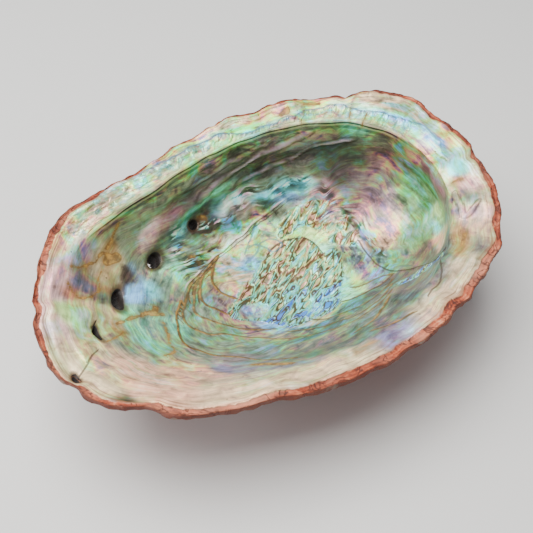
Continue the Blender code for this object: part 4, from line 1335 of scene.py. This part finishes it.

# The shelf's crest is a pale line, a painted highlight, between dark ones, painted shade, with tinted bands
# of the nacre beside them: millimetres above it, half breadth, strength, tone
CREST_LINES = ((0.9, 1.0, 0.5, tone(176, 196, 150)), (-0.35, 0.26, 0.6, tone(222, 212, 184)),
               (-1.0, 0.45, 0.85, tone(66, 60, 40)), (-1.9, 0.40, 0.65, tone(186, 188, 138)),
               (-3.2, 0.9, 0.5, tone(62, 62, 46)))
for offset, half_width, amount, shade in CREST_LINES:
    colour = nodes.paint(colour, nodes.line("crest_line", half_width, broad_waver, offset), amount, shade)

# Gold and brown along the old scar edges; the youngest edge is a double dark line with a painted highlight
# along one side
gold = nodes.line("gold_line", 0.58, broad_waver)
gold_side = nodes.line("gold_line", 0.42, broad_waver, 0.55)
uneven = nodes.between(waver, 0.35, 0.65)
colour = nodes.paint(colour, gold, 0.95, nodes.mix(uneven, tone(104, 82, 50), tone(166, 134, 78)))
colour = nodes.paint(colour, gold_side, 0.6, tone(84, 66, 40))
scar_highlight = nodes.times(nodes.line("scar_line", 0.42, waver, -0.8), nodes.between(broad_waver, 0.40, 0.58))
scar_highlight_tone = nodes.ramp(nodes.noise(place, 130.0, 1.0), (
    (0.36, tone(186, 232, 222)), (0.48, tone(246, 244, 232)), (0.60, tone(240, 196, 206))))
colour = nodes.paint(colour, scar_highlight, 0.7, scar_highlight_tone)
dark = nodes.larger(nodes.line("scar_line", 0.30, broad_waver), nodes.line("scar_line", 0.22, waver, 1.3))
dark = nodes.larger(dark, nodes.line("dark_line", 0.42, broad_waver))
colour = nodes.paint(colour, dark, 0.75, tone(72, 60, 44))
colour = nodes.paint(colour, nodes.line("loop_line", 0.5, waver), 0.6, tone(96, 140, 158))

# Ochre stains with darker borders
in_stain = nodes.times_plus(waver, 1.6, nodes.attribute("stain")["Fac"])
in_stain = nodes.times_plus(broad_waver, 1.2, nodes.less(in_stain, 1.4))
stain = nodes.between(in_stain, -0.15, 0.25)
stain_border = nodes.times(stain, nodes.between(in_stain, 0.75, 0.35))
colour = nodes.paint(colour, nodes.between(in_stain, -1.6, 0.0), 0.38, tone(150, 122, 74))
colour = nodes.paint(colour, stain, 0.75, nodes.mix(uneven, tone(118, 90, 50), tone(180, 146, 80)))
colour = nodes.paint(colour, stain_border, 0.30, tone(98, 70, 40))

# Specks and pin holes; round the breathing holes a brown tint that is partly painted shade, and in them
# painted shade, near black
specks = nodes.between(nodes.dots(place, 210.0), 0.10, 0.04)
specks = nodes.times(specks, nodes.between(nodes.noise(place, 40.0), 0.5, 0.62))
colour = nodes.paint(colour, specks, 0.7, UMBER)
HOLE_BROWN_SHADE = tone(92, 70, 54)
HOLE_SHADOW = tone(44, 36, 34)
hole = nodes.attribute("hole")["Fac"]
hole_shade = nodes.between(nodes.times_plus(broad_waver, 0.5, hole), 0.62, 1.35)
colour = nodes.paint(colour, hole_shade, 0.85, HOLE_BROWN_SHADE)
in_hole = nodes.between(hole, 1.05, 1.5)
colour = nodes.mix(in_hole, colour, HOLE_SHADOW)

# Thin brown lines along the outer strip, where the youngest layers end
outer_strip = nodes.between(nodes.attribute("margin")["Fac"], 5.5, 1.5)
outer_line = nodes.times(nodes.between(growth_lines, 0.47, 0.40), outer_strip)
colour = nodes.paint(colour, outer_line, 0.5, tone(150, 108, 80))

# Deeper colour: raised to a power, then made lighter by as much
DEEPER = 1.30
deeper = nodes.add("ShaderNodeGamma", {"Color": colour, "Gamma": DEEPER}).outputs[0]
colour = nodes.mix(1.0, deeper, (DEEPER, DEEPER, DEEPER), "MULTIPLY")

# The bare red layer along the rim, with the darker broken edge of the nacre against it
margin_gap = nodes.times_plus(waver, 1.4, nodes.attribute("margin")["Fac"])
bare = nodes.times(nodes.between(margin_gap, 0.9, 0.45), nodes.less(1.0, in_hole))
colour = nodes.paint(colour, nodes.between(margin_gap, 2.2, 0.9), 0.45, tone(196, 128, 96))
colour = nodes.mix(bare, colour, red["Color"])

# Gloss: the nacre shines, and gold lines, dark lines, stains and holes are duller
dull = nodes.larger(nodes.larger(gold, dark), nodes.larger(stain, in_hole))
gloss = nodes.times_plus(play["Sheen"], 0.20, 0.24)
gloss = nodes.times_plus(nodes.larger(dull, nodes.line("crest_line", 2.2, waver, 1.4)), 0.25, gloss)
pearl = nodes.times(nodes.less(1.0, nodes.larger(bare, dull)), 0.30)

# Fine relief: hammered nacre, growth lines, lumps, and the red layer's own
relief = nodes.times_plus(growth_lines, 0.10, nodes.times(nodes.noise(place, 260.0, 3.0, 0.55), 0.50))
relief = nodes.times_plus(lump_height, 0.9, relief)
relief = nodes.times_plus(nodes.larger(dark, gold), -0.15, relief)
relief = nodes.times_plus(specks, -0.3, relief)
relief = nodes.times_plus(bare, nodes.less(red["Height"], 1.6), relief)
bump = nodes.add("ShaderNodeBump", {"Height": relief, "Distance": 0.0007, "Strength": 0.7})
links = nacre.node_tree.links
links.new(colour, shader.inputs["Base Color"])
links.new(nodes.mix_values(bare, gloss, red["Roughness"]), shader.inputs["Roughness"])
links.new(pearl, shader.inputs["Metallic"])
links.new(nodes.times(nodes.less(1.0, bare), 0.07), shader.inputs["Coat Weight"])
links.new(bump.outputs["Normal"], shader.inputs["Normal"])
shader.inputs["Coat Roughness"].default_value = 0.12
shader.inputs["Coat IOR"].default_value = 1.45
shader.inputs["Specular IOR Level"].default_value = 0.38

# The crust: the red layer in broad bands, with pale patches, round marks of old tube worms, and bare
# nacre where the shell stands
CRUST_BAND = 0.0066
crust, nodes, shader, place, play, red = shell_material("crust")
colour = nodes.mix(0.55, red["Color"], nodes.attribute("tone")["Color"])
drift = nodes.noise(place, 45.0, 4.0)
bands = nodes.times(nodes.attribute("strata")["Fac"], 2 * np.pi / CRUST_BAND)
bands = nodes.math("SINE", nodes.times_plus(drift, 7.0, bands))
colour = nodes.paint(colour, nodes.between(bands, 0.2, 1.0), 0.45, tone(120, 62, 48))
patches = nodes.noise(place, 70.0, 6.0, 0.68)
pale_patch = nodes.between(patches, 0.56, 0.66)
colour = nodes.paint(colour, pale_patch, 0.45, tone(206, 194, 172))
tubes = nodes.times(nodes.between(nodes.dots(place, 120.0), 0.22, 0.14), nodes.between(drift, 0.50, 0.58))
colour = nodes.paint(colour, tubes, 0.5, tone(214, 200, 180))
worn = nodes.between(nodes.times_plus(patches, 0.6, nodes.attribute("vivid")["Fac"]), 0.75, 0.95)
colour = nodes.mix(worn, colour, nodes.mix(0.5, play["Color"], CREAM))
# Painted shade, near black, on the holes' walls
in_hole = nodes.between(nodes.attribute("hole")["Fac"], 1.05, 1.5)
colour = nodes.mix(in_hole, colour, HOLE_SHADOW)
relief = nodes.times_plus(bands, -0.12, red["Height"])
relief = nodes.times_plus(pale_patch, 0.4, nodes.times_plus(tubes, 0.5, relief))
relief = nodes.times(relief, nodes.less(1.0, nodes.times(worn, 0.8)))
bump = nodes.add("ShaderNodeBump", {"Height": relief, "Distance": 0.0009, "Strength": 0.8})
links = crust.node_tree.links
links.new(colour, shader.inputs["Base Color"])
links.new(nodes.mix_values(worn, red["Roughness"], 0.35), shader.inputs["Roughness"])
links.new(bump.outputs["Normal"], shader.inputs["Normal"])

mesh.materials.append(nacre)
mesh.materials.append(crust)
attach(shell, "root")
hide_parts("shell")


# The table, the lights and the camera
#
# The shell stands alone on a plain pale surface, under a large soft light from above and a weaker one
# from the left.

FLOOR_REACH = 1.6
floor_mesh = bpy.data.meshes.new("table")
floor_mesh.from_pydata(
    [(-FLOOR_REACH, -FLOOR_REACH, 0), (FLOOR_REACH, -FLOOR_REACH, 0),
     (FLOOR_REACH, FLOOR_REACH, 0), (-FLOOR_REACH, FLOOR_REACH, 0)], [], [(0, 1, 2, 3)])
table = bpy.data.objects.new("table", floor_mesh)
bpy.context.scene.collection.objects.link(table)
table_finish = bpy.data.materials.new("table")
table_finish.use_nodes = True
table_shader = table_finish.node_tree.nodes["Principled BSDF"]
table_shader.inputs["Base Color"].default_value = rgba(tone(214, 214, 212))
table_shader.inputs["Roughness"].default_value = 0.6
floor_mesh.materials.append(table_finish)

world = bpy.data.worlds.new("studio")
world.use_nodes = True
world.node_tree.nodes["Background"].inputs["Color"].default_value = (0.80, 0.84, 0.90, 1.0)
world.node_tree.nodes["Background"].inputs["Strength"].default_value = 0.40
bpy.context.scene.world = world


def aim(thing, place, target):
    """Puts a light or the camera at place, looking at target, level."""
    back = unit(np.subtract(place, target))
    right = unit(np.cross((0.0, 0.0, 1.0), back))
    up = np.cross(back, right)
    matrix = np.eye(4)
    matrix[:3, :4] = np.stack([right, up, back, place], axis=-1)
    thing.matrix_world = Matrix(matrix.tolist())


def soft_light(name, place, size, power, colour):
    """A square soft light that faces the middle of the shell."""
    data = bpy.data.lights.new(name, "AREA")
    data.size = size
    data.energy = power
    data.color = colour
    lamp = bpy.data.objects.new(name, data)
    bpy.context.scene.collection.objects.link(lamp)
    aim(lamp, place, (0.0, 0.0, 0.03))


soft_light("overhead", (-0.20, 0.10, 0.85), 0.80, 18.0, (1.0, 0.98, 0.95))
soft_light("left", (-0.75, 0.35, 0.35), 0.35, 3.0, (0.95, 0.98, 1.0))

LOOK_AT = np.array([-0.013470, -0.011001, 0.051451])
AZIMUTH = np.radians(-33.0)
ELEVATION = np.radians(45.0)
CAMERA_DISTANCE = 0.330
toward_camera = np.array([
    np.sin(AZIMUTH) * np.cos(ELEVATION), -np.cos(AZIMUTH) * np.cos(ELEVATION), np.sin(ELEVATION)])
camera_data = bpy.data.cameras.new("camera")
camera_data.lens = 60.0
camera_data.sensor_width = 36.0
camera_data.clip_start = 0.01
camera = bpy.data.objects.new("camera", camera_data)
bpy.context.scene.collection.objects.link(camera)
aim(camera, LOOK_AT + CAMERA_DISTANCE * toward_camera, LOOK_AT)
bpy.context.scene.camera = camera
